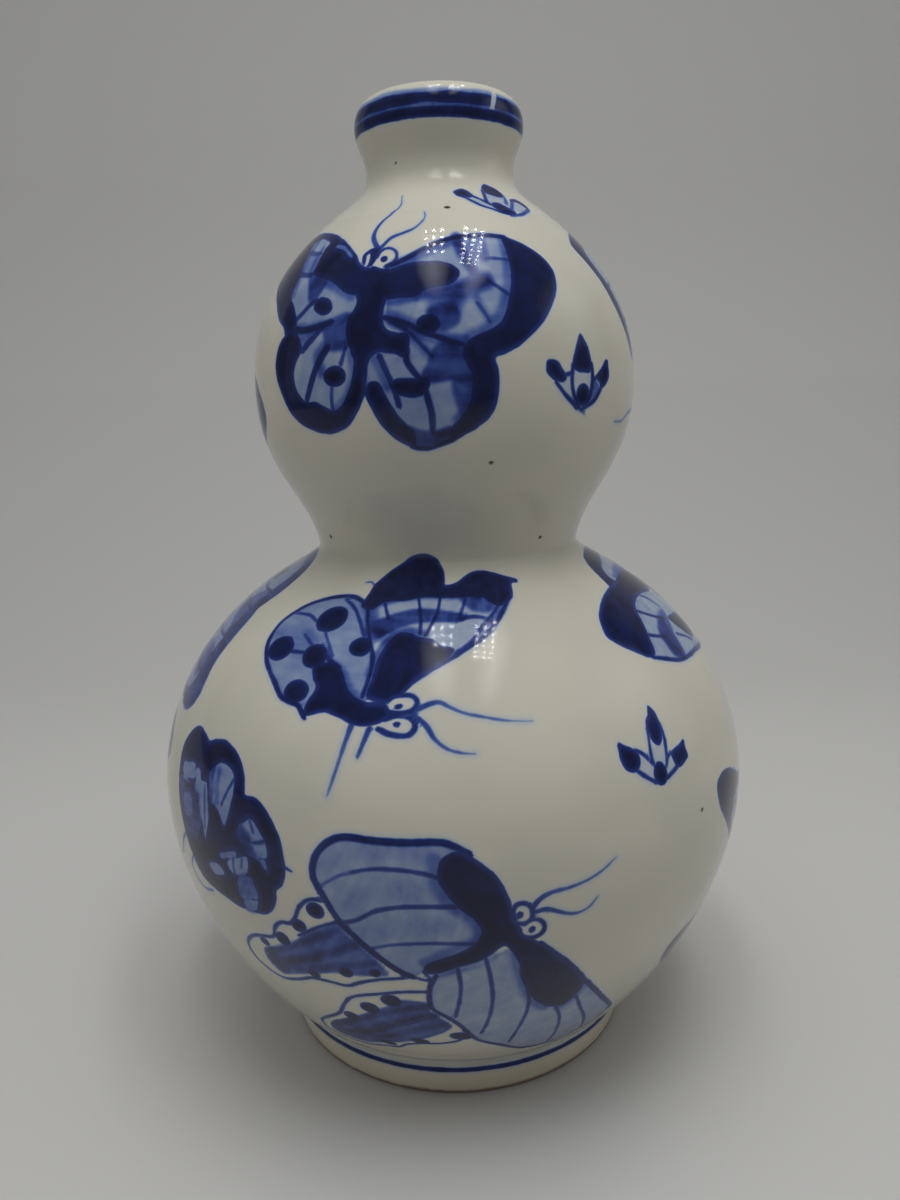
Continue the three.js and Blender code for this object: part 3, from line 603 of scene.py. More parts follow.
# A small butterfly, of which the photograph shows the edge of a wing at the left of either bulb
SMALL_BUTTERFLY = Motif(
    (
        dark("2.5,0 1.5,3 -1,5.5 -4,8 -8,9 -14,7.6 -17,3.6 -17.4,-2 -14.6,-6 -9,-7.5 -5,-6.5 -1,-4 1.5,-2"),
        dark("-14.6,-5 -8.6,-8 -5.4,-12 -6.4,-16.6 -10.4,-18.8 -15,-17.4 -18,-13 -18.6,-8"),
        dark("-39,-.6 -38.4,3 -36,6 -33,8.4 -29,9.2 -24,7.6 -21,3.6 -20.6,-2 -23.4,-6 -29,-7.9 -34,-6.9 -37.6,-4"),
        dark("-23.4,-5 -29.4,-8 -32.2,-11.6 -31.2,-16 -27.4,-18.2 -23,-17.2 -20,-13 -19.4,-8"),
        cell("-3.6,2 -6.6,4.8 -11.6,4.6 -14.2,1.8 -12,-2.6 -8,-4.2 -4.6,-2.4"),
        cell("-14,-9 -9.8,-10.4 -8.6,-13.2 -10.6,-15.8 -14,-14.8 -15.8,-11.6"),
        cell("-34.6,2.4 -31.4,5 -26.4,4.6 -23.8,1.8 -26,-2.6 -30,-4.6 -33.8,-2.8"),
        cell("-24,-9 -28.2,-10.2 -29.2,-13 -27.4,-15.4 -24,-14.6 -22.2,-11.6"),
        dark("-20.8,9 -19,10.4 -17.2,9 -16.8,3 -17.4,-6 -19,-12.4 -20.6,-6 -21.2,3"),
        dab(-9, 1.6, 1.7, 1.4),
        dab(-29, 1.6, 1.7, 1.4),
        bare("-21.2,10.2 -22.6,11.2 -22.4,12.8 -20.8,13.4 -19.4,12.4 -19.6,10.8"),
        bare("-16.8,10.2 -15.4,11.2 -15.6,12.8 -17.2,13.4 -18.6,12.4 -18.4,10.8"),
        dab(-21, 11.8, 0.75, 0.75),
        dab(-17, 11.8, 0.75, 0.75),
    ),
    (
        line("-14,0 -9,-1 -4.4,-.4", 0.8, load=0.66),
        line("-24,0 -29,-1 -34,-.4", 0.8, load=0.66),
        line("-15.4,-10 -12,-12.6 -10.4,-15", 0.8, load=0.66),
        line("-22.6,-10 -26,-12.6 -27.6,-14.6", 0.8, load=0.66),
        line("-21.2,10 -22.9,11.1 -22.7,13 -20.8,13.7 -19.1,12.5 -19.5,10.5", 0.8, load=0.84),
        line("-16.8,10 -15.1,11.1 -15.3,13 -17.2,13.7 -18.9,12.5 -18.5,10.5", 0.8, load=0.84),
        line("-21,13.8 -22.6,16.4 -25.6,17.8 -29,17.6", 1.0, 0.4, 0.72),
        line("-17,13.8 -15.6,16.4 -13,18 -9.6,18.2", 1.0, 0.4, 0.72),
    ),
    0.0,
)

# The butterfly low at the large bulb's right side, of which the photograph shows the edges of two wings
LOW_BUTTERFLY = Motif(
    (
        wash("2,7.4 8,4.6 16,2 24,-1 29,-6 26,-14 20,-21 14,-20 8,-14 4,-10 2,-4"),
        wash("-13,-30 -6,-29 4,-26.4 13,-24 20,-24 17,-32 8,-39 0,-41 -8,-41 -13,-37"),
        mid("4,-1 10,-3 16,-8 12,-12 7,-8"),
        mid("6,-28 14,-26 16,-31 9,-36 3,-34"),
        dark("-10,6 -9.5,8.3 -7,9.3 -4,9.5 0,8.5 5,6 10,3.5 18,1 27,-2.4 30.6,-4 28,-6.4 22,-3 12,0 5,1 2,-3 3,-7 "
             "8,-13 14,-19 8,-15 4,-11.4 0,-7.5 -3,-4 -6,-1 -8.5,2"),
        dark("-18,-29.5 -13,-27.8 -6,-27.6 2,-26.2 10,-24.4 10,-26.6 3,-29 0,-33 2,-37 8,-39.4 10,-41 0,-43 -8,-43 "
             "-14,-40.4 -18.6,-36 -19.4,-32"),
        dark("31.6,-1.6 34.6,-3.6 34.4,-7.6 29,-15 23.6,-23.6 17.6,-32 12.6,-36.6 12,-34 16.6,-26.6 22,-16.6 "
             "27,-7.6"),
        cell("-8,-31.4 -3,-31 -2,-34 -4.6,-38 -9,-38.4 -12,-35.4", 0.34),
        dab(14, -5.4, 2.4, 2.0),
        dab(10.6, -31.4, 2.4, 1.9),
        bare("34.8,-1.4 36.8,-.8 38.2,-2.2 37.6,-4 35.8,-4.4 34.4,-3.2"),
        bare("32,.6 33.6,1.8 35.4,1 35.6,-.8 34.2,-1.8 32.4,-1.2"),
        dab(36.3, -2.7, 0.8, 0.75),
        dab(33.9, 0.1, 0.75, 0.75),
    ),
    (
        line("4,2.6 8,-4 12,-10 16,-17", 0.9, load=0.66),
        line("12,0 16,-6 20,-12 23,-17", 0.9, load=0.66),
        line("14,-19 18,-21.4 22,-21.6", 1.1, load=0.8),
        line("10,-25 16,-23.6 21.4,-23.4", 1.1, load=0.8),
        line("10,-40.4 14,-38 17.4,-33.4", 1.1, load=0.8),
        line("3,-29 10,-28 18,-27.4", 0.9, load=0.66),
        line("2,-37 9,-33.6 16.4,-30.6", 0.9, load=0.66),
        line("34.8,-1.1 36.9,-.5 38.6,-2.1 37.9,-4.2 35.7,-4.7 34.1,-3.2", 0.8, load=0.84),
        line("31.8,.6 33.5,2.1 35.7,1.2 35.9,-.9 34.3,-2.1 32.2,-1.4", 0.8, load=0.84),
        line("38.4,-2.4 42,-1.4 45.4,-2.6 49,-5.4", 1.1, 0.4, 0.72),
        line("35.4,1.6 38.4,4.4 42.4,5 47,3.4", 1.1, 0.4, 0.72),
    ),
    0.0,
)

# The three leaf sprigs
UPPER_SPRIG = Motif(
    (
        wash("-1.9,3 -2.2,-1 -1.8,-3.6 .8,-6 3,-3.6 3.8,0 3.4,3", 0.09),
        wash("-4.4,-1 -2.4,0 -2.2,-3 -1.2,-6 -3.4,-4.6 -5.6,-2.2", 0.09),
        wash("5.2,-1 6.5,-2.5 6,-4 4,-5.2 2.5,-6 3.2,-4 4.2,-2", 0.09),
        mid("5.2,-1 6.5,-2.5 6,-4 4,-5.2 2.5,-6 3.2,-4 4.2,-2"),
        dark(".8,8.4 -.6,6.2 -1.8,3.6 -2.1,1.6 -.6,.6 1.3,.4 3.2,.6 3.7,2.5 3.1,5 2.1,7"),
        dab(1.0, -4.2, 2.1, 2.4),
        dark("-9,1.5 -8.8,2.8 -7.5,3.1 -6,2.6 -4.8,1.2 -3.8,-.3 -4.5,-1.5 -6,-1.5 -7.5,-.8 -8.8,.4"),
        dark("9.9,3 8.8,3.1 7.5,1.8 6,.6 5,-.5 6.4,-1.7 7,-2.9 8.5,-2.3 9.9,-1 10.3,.5 10,1.8"),
    ),
    (
        line("-2,2 -2.3,-1 -1.9,-3.5 -.6,-5.8 .6,-7.2", 1.0, load=0.88),
        line("3.7,2 4,-.6 3.5,-3.4 2.4,-5.6 1,-7.2", 1.1, load=0.88),
        line("-6.5,-1.5 -5,-3.2 -3.2,-4.8 -.6,-6.8", 1.0, load=0.84),
        line("-4,0 -3,.2 -2.1,.1", 0.9, load=0.82),
        line("7,-2.8 5.5,-4.8 3.5,-6.1 1.2,-7", 1.1, load=0.84),
        line("5.3,-.4 4.3,-1.3 3.8,-3", 0.9, load=0.8),
        line(".4,-7.2 1.9,-8", 0.8, 0.6, 0.7),
    ),
    80.0,
)

LOWER_SPRIG = Motif(
    (
        wash("-1.6,-3.8 -.8,0 .5,-.3 2.5,0 3.1,-1.5 2.2,-4 1.3,-4.5", 0.09),
        wash("-5.2,-.2 -3.6,-1.3 -2.1,-3.5 -2.3,-6.8 -4.4,-5.5 -6,-4 -5,-2.4", 0.09),
        wash("4.2,-2.8 2.8,-3.4 1.8,-5 1.6,-7 3.3,-6.5 4.9,-5.9", 0.09),
        dark("2,8 1,6 -.3,5.2 -.7,3.5 -.5,1 .5,-.3 1.8,-.4 3.1,1 3.7,3.5 3.5,6 2.8,7.4"),
        dab(-0.4, -6.1, 2.0, 2.5),
        dark("-9.6,2.4 -8,1.6 -6.2,.6 -5.1,-.8 -5,-2.5 -6,-3.9 -7.5,-4.2 -9,-3.3 -9.8,-1.5 -9.9,0"),
        dark("9.4,-1.4 7.5,-2 5.5,-2.3 4.1,-2.8 4.1,-4.5 4.8,-6.1 6,-6.4 8,-5.8 9.3,-5 9.2,-3.5"),
    ),
    (
        line("-.4,4 -1.2,1 -1.8,-2 -1.6,-4.4", 0.9, load=0.78),
        line("3.5,3.5 3.5,1 3,-1.5 2.2,-4.2", 0.9, load=0.78),
        line("-5.5,0 -3.8,-1.2 -2,-3.6", 0.9, load=0.78),
        line("-6.3,-4.1 -4.5,-5.7 -2.2,-7.4", 1.0, load=0.8),
        line("4,-2.8 2.8,-3.4 1.6,-5.2", 0.9, load=0.78),
        line("5,-6 3.3,-6.7 1.2,-7.4", 1.0, load=0.8),
    ),
    80.0,
)

SHOULDER_SPRIG = Motif(
    (
        wash("-5.5,2.4 -4.2,3 -2.6,1.8 -1.2,.4 -.6,-2 -3.2,-.4", 0.12),
        wash("-.4,5 1.4,4 4,3.4 5.2,4 4.6,1.6 2.4,.6 -.6,.6 -1.4,1.6", 0.14),
        wash("5,.8 6.9,2 8.2,.7 8.2,-1 6.8,-2 4.4,-2.2 3.6,-.8", 0.14),
        dark("-8.6,4.9 -7.6,6 -6,6.5 -4.6,5.4 -3.9,3.8 -4.4,2.8 -5.7,2.4 -7.8,3.2"),
        dark(".5,8.2 1.4,9 2.6,9.1 4.9,7.6 5.6,5.8 5.2,4.4 3.8,3.5 1.5,4 -.1,5.3 -.2,6.8"),
        dark("-.4,.5 .8,1 1.9,.6 3.4,-.9 4.2,-2.8 3.4,-3.7 1.9,-3.9 .4,-3.2 -.6,-1.4"),
        dark("5.8,2.8 7,3.6 8.5,3.9 9.6,3.2 10.2,2 10,.6 9.5,-.7 8.9,-.2 8.4,1.2 7.4,2.2 6.2,2"),
    ),
    (
        line("-7.6,3.4 -5.9,2.2 -3.2,-.7 -.6,-2.3 .6,-3", 0.9, load=0.8),
        line("-4.2,3.3 -2.7,2 -1.2,.5 -.4,-.4", 1.0, load=0.84),
        line("-.2,6.2 -.9,3.6 -1.4,1.3", 1.0, load=0.84),
        line("5.2,4.6 4.4,2.6 3.4,.4", 0.9, load=0.5),
        line("6.2,2.4 5.2,.9 3.8,-1.2", 0.9, load=0.6),
        line("9.2,-.4 7.4,-1.8 5,-3.2 2.6,-3.9", 1.0, load=0.72),
    ),
    60.0,
)


@dataclass(frozen=True)
class Placing:
    """A motif's place on the vase: its turn from the front to the right, its anchor's height and how it stands."""

    motif: Motif
    turn: float
    height: float
    mirrored: bool = False
    tilt: float = 0.0
    scale: float = 1.0


# Where the figures stand: first those on the photographed side, then the rest of the way round
PAINTING = (
    Placing(SPREAD_BUTTERFLY, -10, 175),
    Placing(UPPER_SPRIG, 38, 167),
    Placing(SHOULDER_SPRIG, 25, 203),
    Placing(UPPER_BUTTERFLY, 62, 187),
    Placing(SMALL_BUTTERFLY, -66, 160),
    Placing(SMALL_BUTTERFLY, -70, 82, scale=0.86),
    Placing(FOLDED_BUTTERFLY, -12, 108),
    Placing(VEINED_BUTTERFLY, 2, 56),
    Placing(DARK_BUTTERFLY, -42, 78),
    Placing(SHOULDER_BUTTERFLY, -68, 112),
    Placing(RIGHT_BUTTERFLY, 62, 112),
    Placing(LOW_BUTTERFLY, 60, 70),
    Placing(LOWER_SPRIG, 37, 92),
    Placing(SPREAD_BUTTERFLY, 186, 172, True, -6.0, 0.86),
    Placing(UPPER_SPRIG, -97, 193),
    Placing(SHOULDER_SPRIG, 205, 203),
    Placing(FOLDED_BUTTERFLY, 163, 107, True),
    Placing(VEINED_BUTTERFLY, 184, 55, True),
    Placing(DARK_BUTTERFLY, -116, 58, True, 20.0),
    Placing(LOWER_SPRIG, -150, 96),
    Placing(LOWER_SPRIG, 119, 92, True),
)

# Iron specks in the glaze: turn, height and radius
SPECKS = (
    (-33.8, 214.1, 0.3), (2.8, 201.9, 0.7), (12.5, 149.5, 0.5), (-55.5, 131.5, 0.6), (39.0, 131.3, 0.5),
    (46.2, 75.1, 0.6), (120.0, 150.0, 0.5), (196.0, 132.0, 0.5), (230.0, 84.0, 0.6), (-150.0, 45.0, 0.5),
)


@dataclass(frozen=True)
class Profile:
    """The vase's sizes in millimetres and the curves of its wall, as the sections are thrown and moulded."""

    wall: float = 4.5
    slip: float = 0.8
    foot_radius: float = 46.9
    foot_taper: float = 1.8
    foot_height: float = 8.5
    foot_width: float = 7.5
    foot_sole: float = 5.5
    foot_edge: float = 1.0
    belly_radius: float = 74.2
    bowl_height: float = 60.0
    bowl_slope: float = 43.0
    bowl_sweep: float = 23.4
    bowl_swell: float = 18.5
    foot_cove_rise: float = 0.6
    foot_cove_run: float = 3.0
    floor_thickness: float = 7.0
    floor_radius: float = 36.0
    floor_sweep: float = 13.0
    bowl_inner_swell: float = 27.0
    waist_radius: float = 32.8
    dome_height: float = 57.4
    dome_slope: float = 61.0
    dome_swell: float = 15.1
    dome_sweep: float = 30.4
    waist_cove_rise: float = 1.2
    waist_cove_run: float = 8.2
    upper_belly_radius: float = 46.2
    upper_bowl_height: float = 36.7
    upper_bowl_slope: float = 21.0
    upper_bowl_sweep: float = 8.6
    upper_bowl_swell: float = 15.8
    upper_cove_rise: float = 1.2
    upper_cove_run: float = 4.0
    shoulder_radius: float = 29.1
    upper_dome_height: float = 35.5
    shoulder_slope: float = 48.5
    upper_dome_swell: float = 14.2
    upper_dome_sweep: float = 16.0
    throat_radius: float = 17.4
    throat_rise: float = 12.8
    neck_sweep: float = 9.0
    neck_swell: float = 6.0
    flare_height: float = 9.7
    flare_swell: float = 3.4
    lip_radius: float = 19.85
    lip_height: float = 5.65
    crest_radius: float = 15.9
    mouth_radius: float = 12.4
    lip_inner_drop: float = 4.2
    seam_ridge: float = 0.1
    seam_spread: float = 0.7

    @staticmethod
    def leaning(degrees: float) -> Array:
        """Give the unit direction up a wall that leans outwards."""
        angle = math.radians(degrees)
        return np.array([math.sin(angle), math.cos(angle)])

    @staticmethod
    def bezier(points: list[Array], count: int = 240) -> Array:
        """Sample a quadratic or cubic curve.

        Args:
            points: Its three or four control points.
            count: How many samples to take.

        Returns:
            The samples, one row each.
        """
        t = np.linspace(0, 1, count)[:, None]
        while len(points) > 1:
            points = [(1 - t) * a + t * b for a, b in zip(points[:-1], points[1:])]
        return points[0]

    def heights(self) -> dict[str, float]:
        """Give the height of each seam's lower edge, from the foot up."""
        foot = self.foot_height
        belly = foot + self.slip + self.bowl_height
        waist = belly + self.slip + self.dome_height
        upper_belly = waist + self.slip + self.upper_bowl_height
        shoulder = upper_belly + self.slip + self.upper_dome_height
        return {"foot": foot, "belly": belly, "waist": waist, "upper_belly": upper_belly, "shoulder": shoulder}

    def outside(self) -> dict[str, Array]:
        """Give the outer curve of every section, each from the middle of one seam to the middle of the next."""
        up = self.leaning(0)
        rise = 0.5 * self.slip * up
        seam = self.heights()
        sole = self.foot_radius - self.foot_taper
        foot_top = np.array([self.foot_radius, seam["foot"]])
        sole_edge = [np.array([sole - self.foot_edge, 0.0]), np.array([sole, 0.0]), np.array([sole, self.foot_edge])]
        wear = self.bezier(sole_edge, 12)
        foot = np.concatenate([wear, [foot_top, foot_top + rise]])

        base = foot_top + 2 * rise
        slope = self.leaning(self.bowl_slope)
        corner = base + self.foot_cove_rise * up
        cove_end = corner + self.foot_cove_run * slope
        belly = np.array([self.belly_radius, seam["belly"]])
        bowl = np.concatenate([
            [base - rise], self.bezier([base, corner, cove_end], 30),
            self.bezier([cove_end, cove_end + self.bowl_sweep * slope, belly - self.bowl_swell * up, belly]),
            [belly + rise]])

        base = belly + 2 * rise
        slope = self.leaning(-self.dome_slope)
        waist = np.array([self.waist_radius, seam["waist"]])
        corner = waist - self.waist_cove_rise * up
        cove_start = corner - self.waist_cove_run * slope
        dome = np.concatenate([
            [base - rise],
            self.bezier([base, base + self.dome_swell * up, cove_start - self.dome_sweep * slope, cove_start]),
            self.bezier([cove_start, corner, waist], 40), [waist + rise]])

        base = waist + 2 * rise
        slope = self.leaning(self.upper_bowl_slope)
        corner = base + self.upper_cove_rise * up
        cove_end = corner + self.upper_cove_run * slope
        belly = np.array([self.upper_belly_radius, seam["upper_belly"]])
        upper_bowl = np.concatenate([
            [base - rise], self.bezier([base, corner, cove_end], 30),
            self.bezier([cove_end, cove_end + self.upper_bowl_sweep * slope,
                         belly - self.upper_bowl_swell * up, belly]),
            [belly + rise]])

        base = belly + 2 * rise
        slope = self.leaning(-self.shoulder_slope)
        shoulder = np.array([self.shoulder_radius, seam["shoulder"]])
        upper_dome = np.concatenate([
            [base - rise],
            self.bezier([base, base + self.upper_dome_swell * up, shoulder - self.upper_dome_sweep * slope, shoulder]),
            [shoulder + 0.5 * self.slip * slope]])

        base = shoulder + self.slip * slope
        throat = np.array([self.throat_radius, base[1] + self.throat_rise])
        flare = np.array([self.lip_radius, throat[1] + self.flare_height])
        angle = np.linspace(0, np.pi / 2, 40)
        lip = np.stack([self.crest_radius + (self.lip_radius - self.crest_radius) * np.cos(angle),
                        flare[1] + self.lip_height * np.sin(angle)], 1)
        neck = np.concatenate([
            [shoulder + 0.5 * self.slip * slope],
            self.bezier([base, base + self.neck_sweep * slope, throat - self.neck_swell * up, throat]),
            self.bezier([throat, throat + self.flare_swell * up, flare - self.flare_swell * up, flare], 120), lip])
        upper_dome, neck = (self.ridge(part, shoulder + 0.5 * self.slip * slope) for part in (upper_dome, neck))
        return {"foot": foot, "bowl": bowl, "dome": dome, "upper_bowl": upper_bowl,
                "upper_dome": upper_dome, "neck": neck}

    def ridge(self, curve: Array, seam: Array) -> Array:
        """Let the slip stand out a little where a seam was smoothed over."""
        far = np.hypot(*(curve - seam).T)
        lift = self.seam_ridge * np.exp(-(far / self.seam_spread) ** 2)
        slope = self.leaning(90 - self.shoulder_slope)
        return curve + lift[:, None] * slope

    def whole(self) -> Array:
        """Give the outer curve from the foot to the crest, without points that repeat."""
        curve = np.concatenate(list(self.outside().values()))
        keep = np.append(True, np.hypot(*np.diff(curve, axis=0).T) > 1e-6)
        return curve[keep]


def even(curve: Array, step: float) -> Array:
    """Sample a curve again at even steps along it, keeping both ends.

    Args:
        curve: Points along the curve.
        step: The length of a step, about.

    Returns:
        The new points.
    """
    keep = np.append(True, np.hypot(*np.diff(curve, axis=0).T) > 1e-7)
    curve = curve[keep]
    length = np.append(0, np.cumsum(np.hypot(*np.diff(curve, axis=0).T)))
    at = np.linspace(0, length[-1], max(2, int(round(length[-1] / step)) + 1))
    return np.stack([np.interp(at, length, curve[:, i]) for i in (0, 1)], 1)


def set_in(curve: Array, depth: float) -> Array:
    """Give the curve that lies a depth inside another, square to it, from its top to its bottom."""
    along = np.gradient(curve, axis=0)
    along /= np.linalg.norm(along, axis=1, keepdims=True)
    return (curve + depth * np.stack([-along[:, 1], along[:, 0]], 1))[::-1]


def rounded(points: Points, closed: bool, per_span: int = 6) -> Array:
    """Draw a smooth curve through points, as a brush would.

    Args:
        points: The points that it goes through.
        closed: Whether it returns to its first point.
        per_span: Samples between neighbouring points.

    Returns:
        The samples, one row each.
    """
    knots = np.array(points, float)
    if closed:
        knots = np.concatenate([knots[-1:], knots, knots[:2]])
    else:
        knots = np.concatenate([2 * knots[:1] - knots[1:2], knots, 2 * knots[-1:] - knots[-2:-1]])
    a, b, c, d = knots[:-3], knots[1:-2], knots[2:-1], knots[3:]
    t = np.linspace(0, 1, per_span, endpoint=False)[:, None, None]
    curve = 0.5 * (2 * b + (c - a) * t + (2 * a - 5 * b + 4 * c - d) * t ** 2 + (3 * b - a - 3 * c + d) * t ** 3)
    curve = curve.transpose(1, 0, 2).reshape(-1, 2)
    return curve if closed else np.concatenate([curve, knots[-2:-1]])


def gaps(x: Array, y: Array, starts: Array, ends: Array) -> tuple[Array, Array, Array]:
    """Measure how far points lie from the nearest of some segments.

    Args:
        x: The points' first coordinates.
        y: The points' second coordinates.
        starts: The segments' first ends.
        ends: The segments' last ends.

    Returns:
        The distance, the nearest segment's index and the place along that segment, for every point.
    """
    far, which, place = np.empty_like(x), np.empty(len(x), int), np.empty_like(x)
    run = ends - starts
    square = np.maximum((run ** 2).sum(1), 1e-9)
    for low in range(0, len(x), BATCH):
        part = slice(low, low + BATCH)
        dx, dy = x[part, None] - starts[:, 0], y[part, None] - starts[:, 1]
        t = np.clip((dx * run[:, 0] + dy * run[:, 1]) / square, 0, 1)
        span = np.hypot(dx - t * run[:, 0], dy - t * run[:, 1])
        nearest = span.argmin(1)
        rows = np.arange(len(nearest))
        far[part], which[part], place[part] = span[rows, nearest], nearest, t[rows, nearest]
    return far, which, place


def depth_in(x: Array, y: Array, outline: Array) -> Array:
    """Measure how deep points lie inside a closed outline, below zero outside it."""
    ends = np.roll(outline, -1, axis=0)
    far, _, _ = gaps(x, y, outline, ends)
    inside = np.zeros(len(x), bool)
    for (ax, ay), (bx, by) in zip(outline, ends):
        if ay != by:
            crosses = ((ay > y) != (by > y)) & (x < (bx - ax) * (y - ay) / (by - ay) + ax)
            inside ^= crosses
    return np.where(inside, far, -far)


def rise(value: Array, low: float, high: float) -> Array:
    """Go smoothly from nought to one while a value goes from low to high."""
    t = np.clip((value - low) / (high - low), 0, 1)
    return t * t * (3 - 2 * t)


@dataclass(frozen=True)
class Trim:
    """The lines that the brush drew on the turning vase, by their heights in millimetres."""

    foot_line: tuple[float, float] = (7.35, 8.85)
    foot_load: float = 0.97
    lower_band: tuple[float, float] = (221.85, 223.9)
    upper_band: tuple[float, float] = (224.5, 226.9)
    wash: tuple[float, float] = (222.3, 227.9)
    wash_strength: float = 0.5
    wash_fades: tuple[float, float] = (226.4, 228.0)
    brush_gap: tuple[float, float] = (38.2, 226.2)
    gap_half: float = 0.72
    gap_low: float = 224.1


@dataclass
class Painting:
    """Cobalt on one section's outer wall, point by point: the washes' strength, and depths inside areas and lines."""

    turn: Array
    arc: Array
    curve: Array
    length: Array
    layers: dict[str, Array] = field(default_factory=dict)
    grain: Array = field(default_factory=lambda: np.zeros((0, 3)))

    def __post_init__(self) -> None:
        """Start with a bare wall."""
        self.layers = {name: np.full(len(self.turn), value) for name, value in BARE_WALL.items()}
        self.grain = np.zeros((len(self.turn), 3))

    @property
    def height(self) -> Array:
        """Give the height of every point."""
        return np.interp(self.arc, self.length, self.curve[:, 1])

    def local(self, turn: float, height: float) -> tuple[Array, Array]:
        """Give the points' millimetres across and up from an anchor."""
        arc = float(np.interp(height, self.curve[:, 1], self.length))
        radius = float(np.interp(height, self.curve[:, 1], self.curve[:, 0]))
        swing = (self.turn - math.radians(turn) + np.pi) % (2 * np.pi) - np.pi
        return swing * radius, self.arc - arc

    def lay(self, placing: Placing, number: int) -> None:
        """Paint one motif.

        Args:
            placing: The motif and its place.
            number: The motif's number, which gives it brushwork of its own.
        """
        x, y = self.local(placing.turn, placing.height)
        tilt = math.radians(placing.tilt)
        x, y = x * math.cos(tilt) + y * math.sin(tilt), y * math.cos(tilt) - x * math.sin(tilt)
        x, y = (-x if placing.mirrored else x) / placing.scale, y / placing.scale
        for patch in placing.motif.patches:
            self.area(patch, x, y)
        for stroke in placing.motif.strokes:
            self.stroke(stroke, x, y)
        angle = math.radians(placing.motif.grain)
        near = np.hypot(x, y) < GRAIN_REACH
        self.grain[near, 0] = x[near] * math.cos(angle) + y[near] * math.sin(angle)
        self.grain[near, 1] = y[near] * math.cos(angle) - x[near] * math.sin(angle)
        self.grain[near, 2] = GRAIN_APART * number

    @staticmethod
    def within(x: Array, y: Array, shape: Array) -> Array:
        """Find the points in a shape's box, with a margin."""
        low, high = shape.min(0) + FAR, shape.max(0) - FAR
        return np.flatnonzero((x > low[0]) & (x < high[0]) & (y > low[1]) & (y < high[1]))

    def area(self, patch: Patch, x: Array, y: Array) -> None:
        """Paint an area, or free a cell in a dark one."""
        outline = rounded(patch.outline, True)
        near = self.within(x, y, outline)
        if not len(near):
            return
        depth = np.clip(depth_in(x[near], y[near], outline), FAR, -FAR)
        cover = rise(depth, -patch.soft, patch.soft)
        tint, full = self.layers["tint"][near], self.layers["dark"][near]
        match patch.tone:
            case Tone.DARK:
                full = np.maximum(full, depth)
            case Tone.WASH:
                # A wash dries darker at its rim
                tint = np.maximum(tint, patch.strength * cover * (1.3 - 0.3 * rise(depth, 0, 1.6)))
            case Tone.MID:
                tint = tint + (1 - tint) * patch.strength * cover
            case Tone.CELL:
                # The tint runs on a little under the dark edge, so that no pale rim shows
                full = np.minimum(full, -depth)
                tint = tint + (patch.strength - tint) * rise(depth, -0.9, -0.3)
            case Tone.BARE:
                full = np.minimum(full, -depth)
                tint = tint * (1 - cover)
        self.layers["tint"][near], self.layers["dark"][near] = tint, full

    def stroke(self, stroke: Stroke, x: Array, y: Array) -> None:
        """Paint a line that may taper, or a soft stroke into the wash."""
        path = rounded(stroke.path, False)
        near = self.within(x, y, path)
        if not len(near):
            return
        far, which, place = gaps(x[near], y[near], path[:-1], path[1:])
        width = stroke.start + (stroke.end - stroke.start) * (which + place) / (len(path) - 1)
        depth = np.clip(0.5 * width - far, FAR, -FAR)
        if stroke.soft:
            tint = self.layers["tint"][near]
            self.layers["tint"][near] = tint + (1 - tint) * stroke.load * rise(depth, -stroke.soft, stroke.soft)
            return
        run = (path[1:] - path[:-1])[which]
        side = run[:, 0] * (y[near] - path[which, 1]) - run[:, 1] * (x[near] - path[which, 0])
        deeper = depth > self.layers["line"][near]
        crossed = np.minimum(depth, self.layers["line"][near])
        self.layers["other"][near] = np.maximum(self.layers["other"][near], crossed)
        self.layers["line"][near[deeper]] = depth[deeper]
        self.layers["across"][near[deeper]] = np.clip(np.copysign(far, side), FAR, -FAR)[deeper]
        self.layers["half"][near[deeper]] = 0.5 * width[deeper]
        # A stroke pales as it thins out
        self.layers["load"][near[deeper]] = (stroke.load * (0.45 + 0.55 * width / stroke.start))[deeper]

    def band(self, low: float, high: float, waves: tuple[int, ...], wander: float = 0.1) -> Array:
        """Measure the depth in a band round the vase with slightly wandering edges.

        Args:
            low: The height of its lower edge.
            high: The height of its upper edge.
            waves: How many waves each part of the wandering has round the vase.
            wander: How far the edges stray, in millimetres.

        Returns:
            The depth of every point in the band, below zero outside it.
        """
        stray = sum(np.sin(n * self.turn + 1.7 * n) for n in waves) * wander / len(waves)
        other = sum(np.cos(n * self.turn + 0.6 * n) for n in waves) * wander / len(waves)
        return np.clip(np.minimum(self.height - low - stray, high + other - self.height), FAR, -FAR)

    def trim(self, trim: Trim) -> None:
        """Paint the line round the foot and the lip's two bands, the upper one washed out and not quite closed.

        Args:
            trim: The heights of the line and the bands.
        """
        low, high = trim.foot_line
        foot = self.band(low, high, (1, 3, 7))
        drawn = foot > self.layers["line"]
        self.layers["load"][drawn] = trim.foot_load
        self.layers["across"][drawn] = (self.height - 0.5 * (low + high))[drawn]
        self.layers["half"][drawn] = 0.5 * (high - low)
        self.layers["line"][drawn] = foot[drawn]
        x, y = self.local(*trim.brush_gap)
        gap = np.where(self.height > trim.gap_low, trim.gap_half - np.hypot(x - 0.35 * y, 0.2 * y), FAR)
        upper = np.minimum(self.band(*trim.upper_band, (1, 5, 9, 17), 0.3), -gap)
        lower = self.band(*trim.lower_band, (1, 2, 5))
        self.layers["dark"] = np.maximum(self.layers["dark"], np.maximum(lower, upper))
        wet = trim.wash_strength * rise(self.band(*trim.wash, (2, 5, 11), 0.4), -0.5, 0.5)
        wet *= (1 - 0.5 * rise(self.height, *trim.wash_fades)) * (1 - 0.8 * rise(gap, -0.3, 0.2))
        self.layers["tint"] = np.maximum(self.layers["tint"], wet)

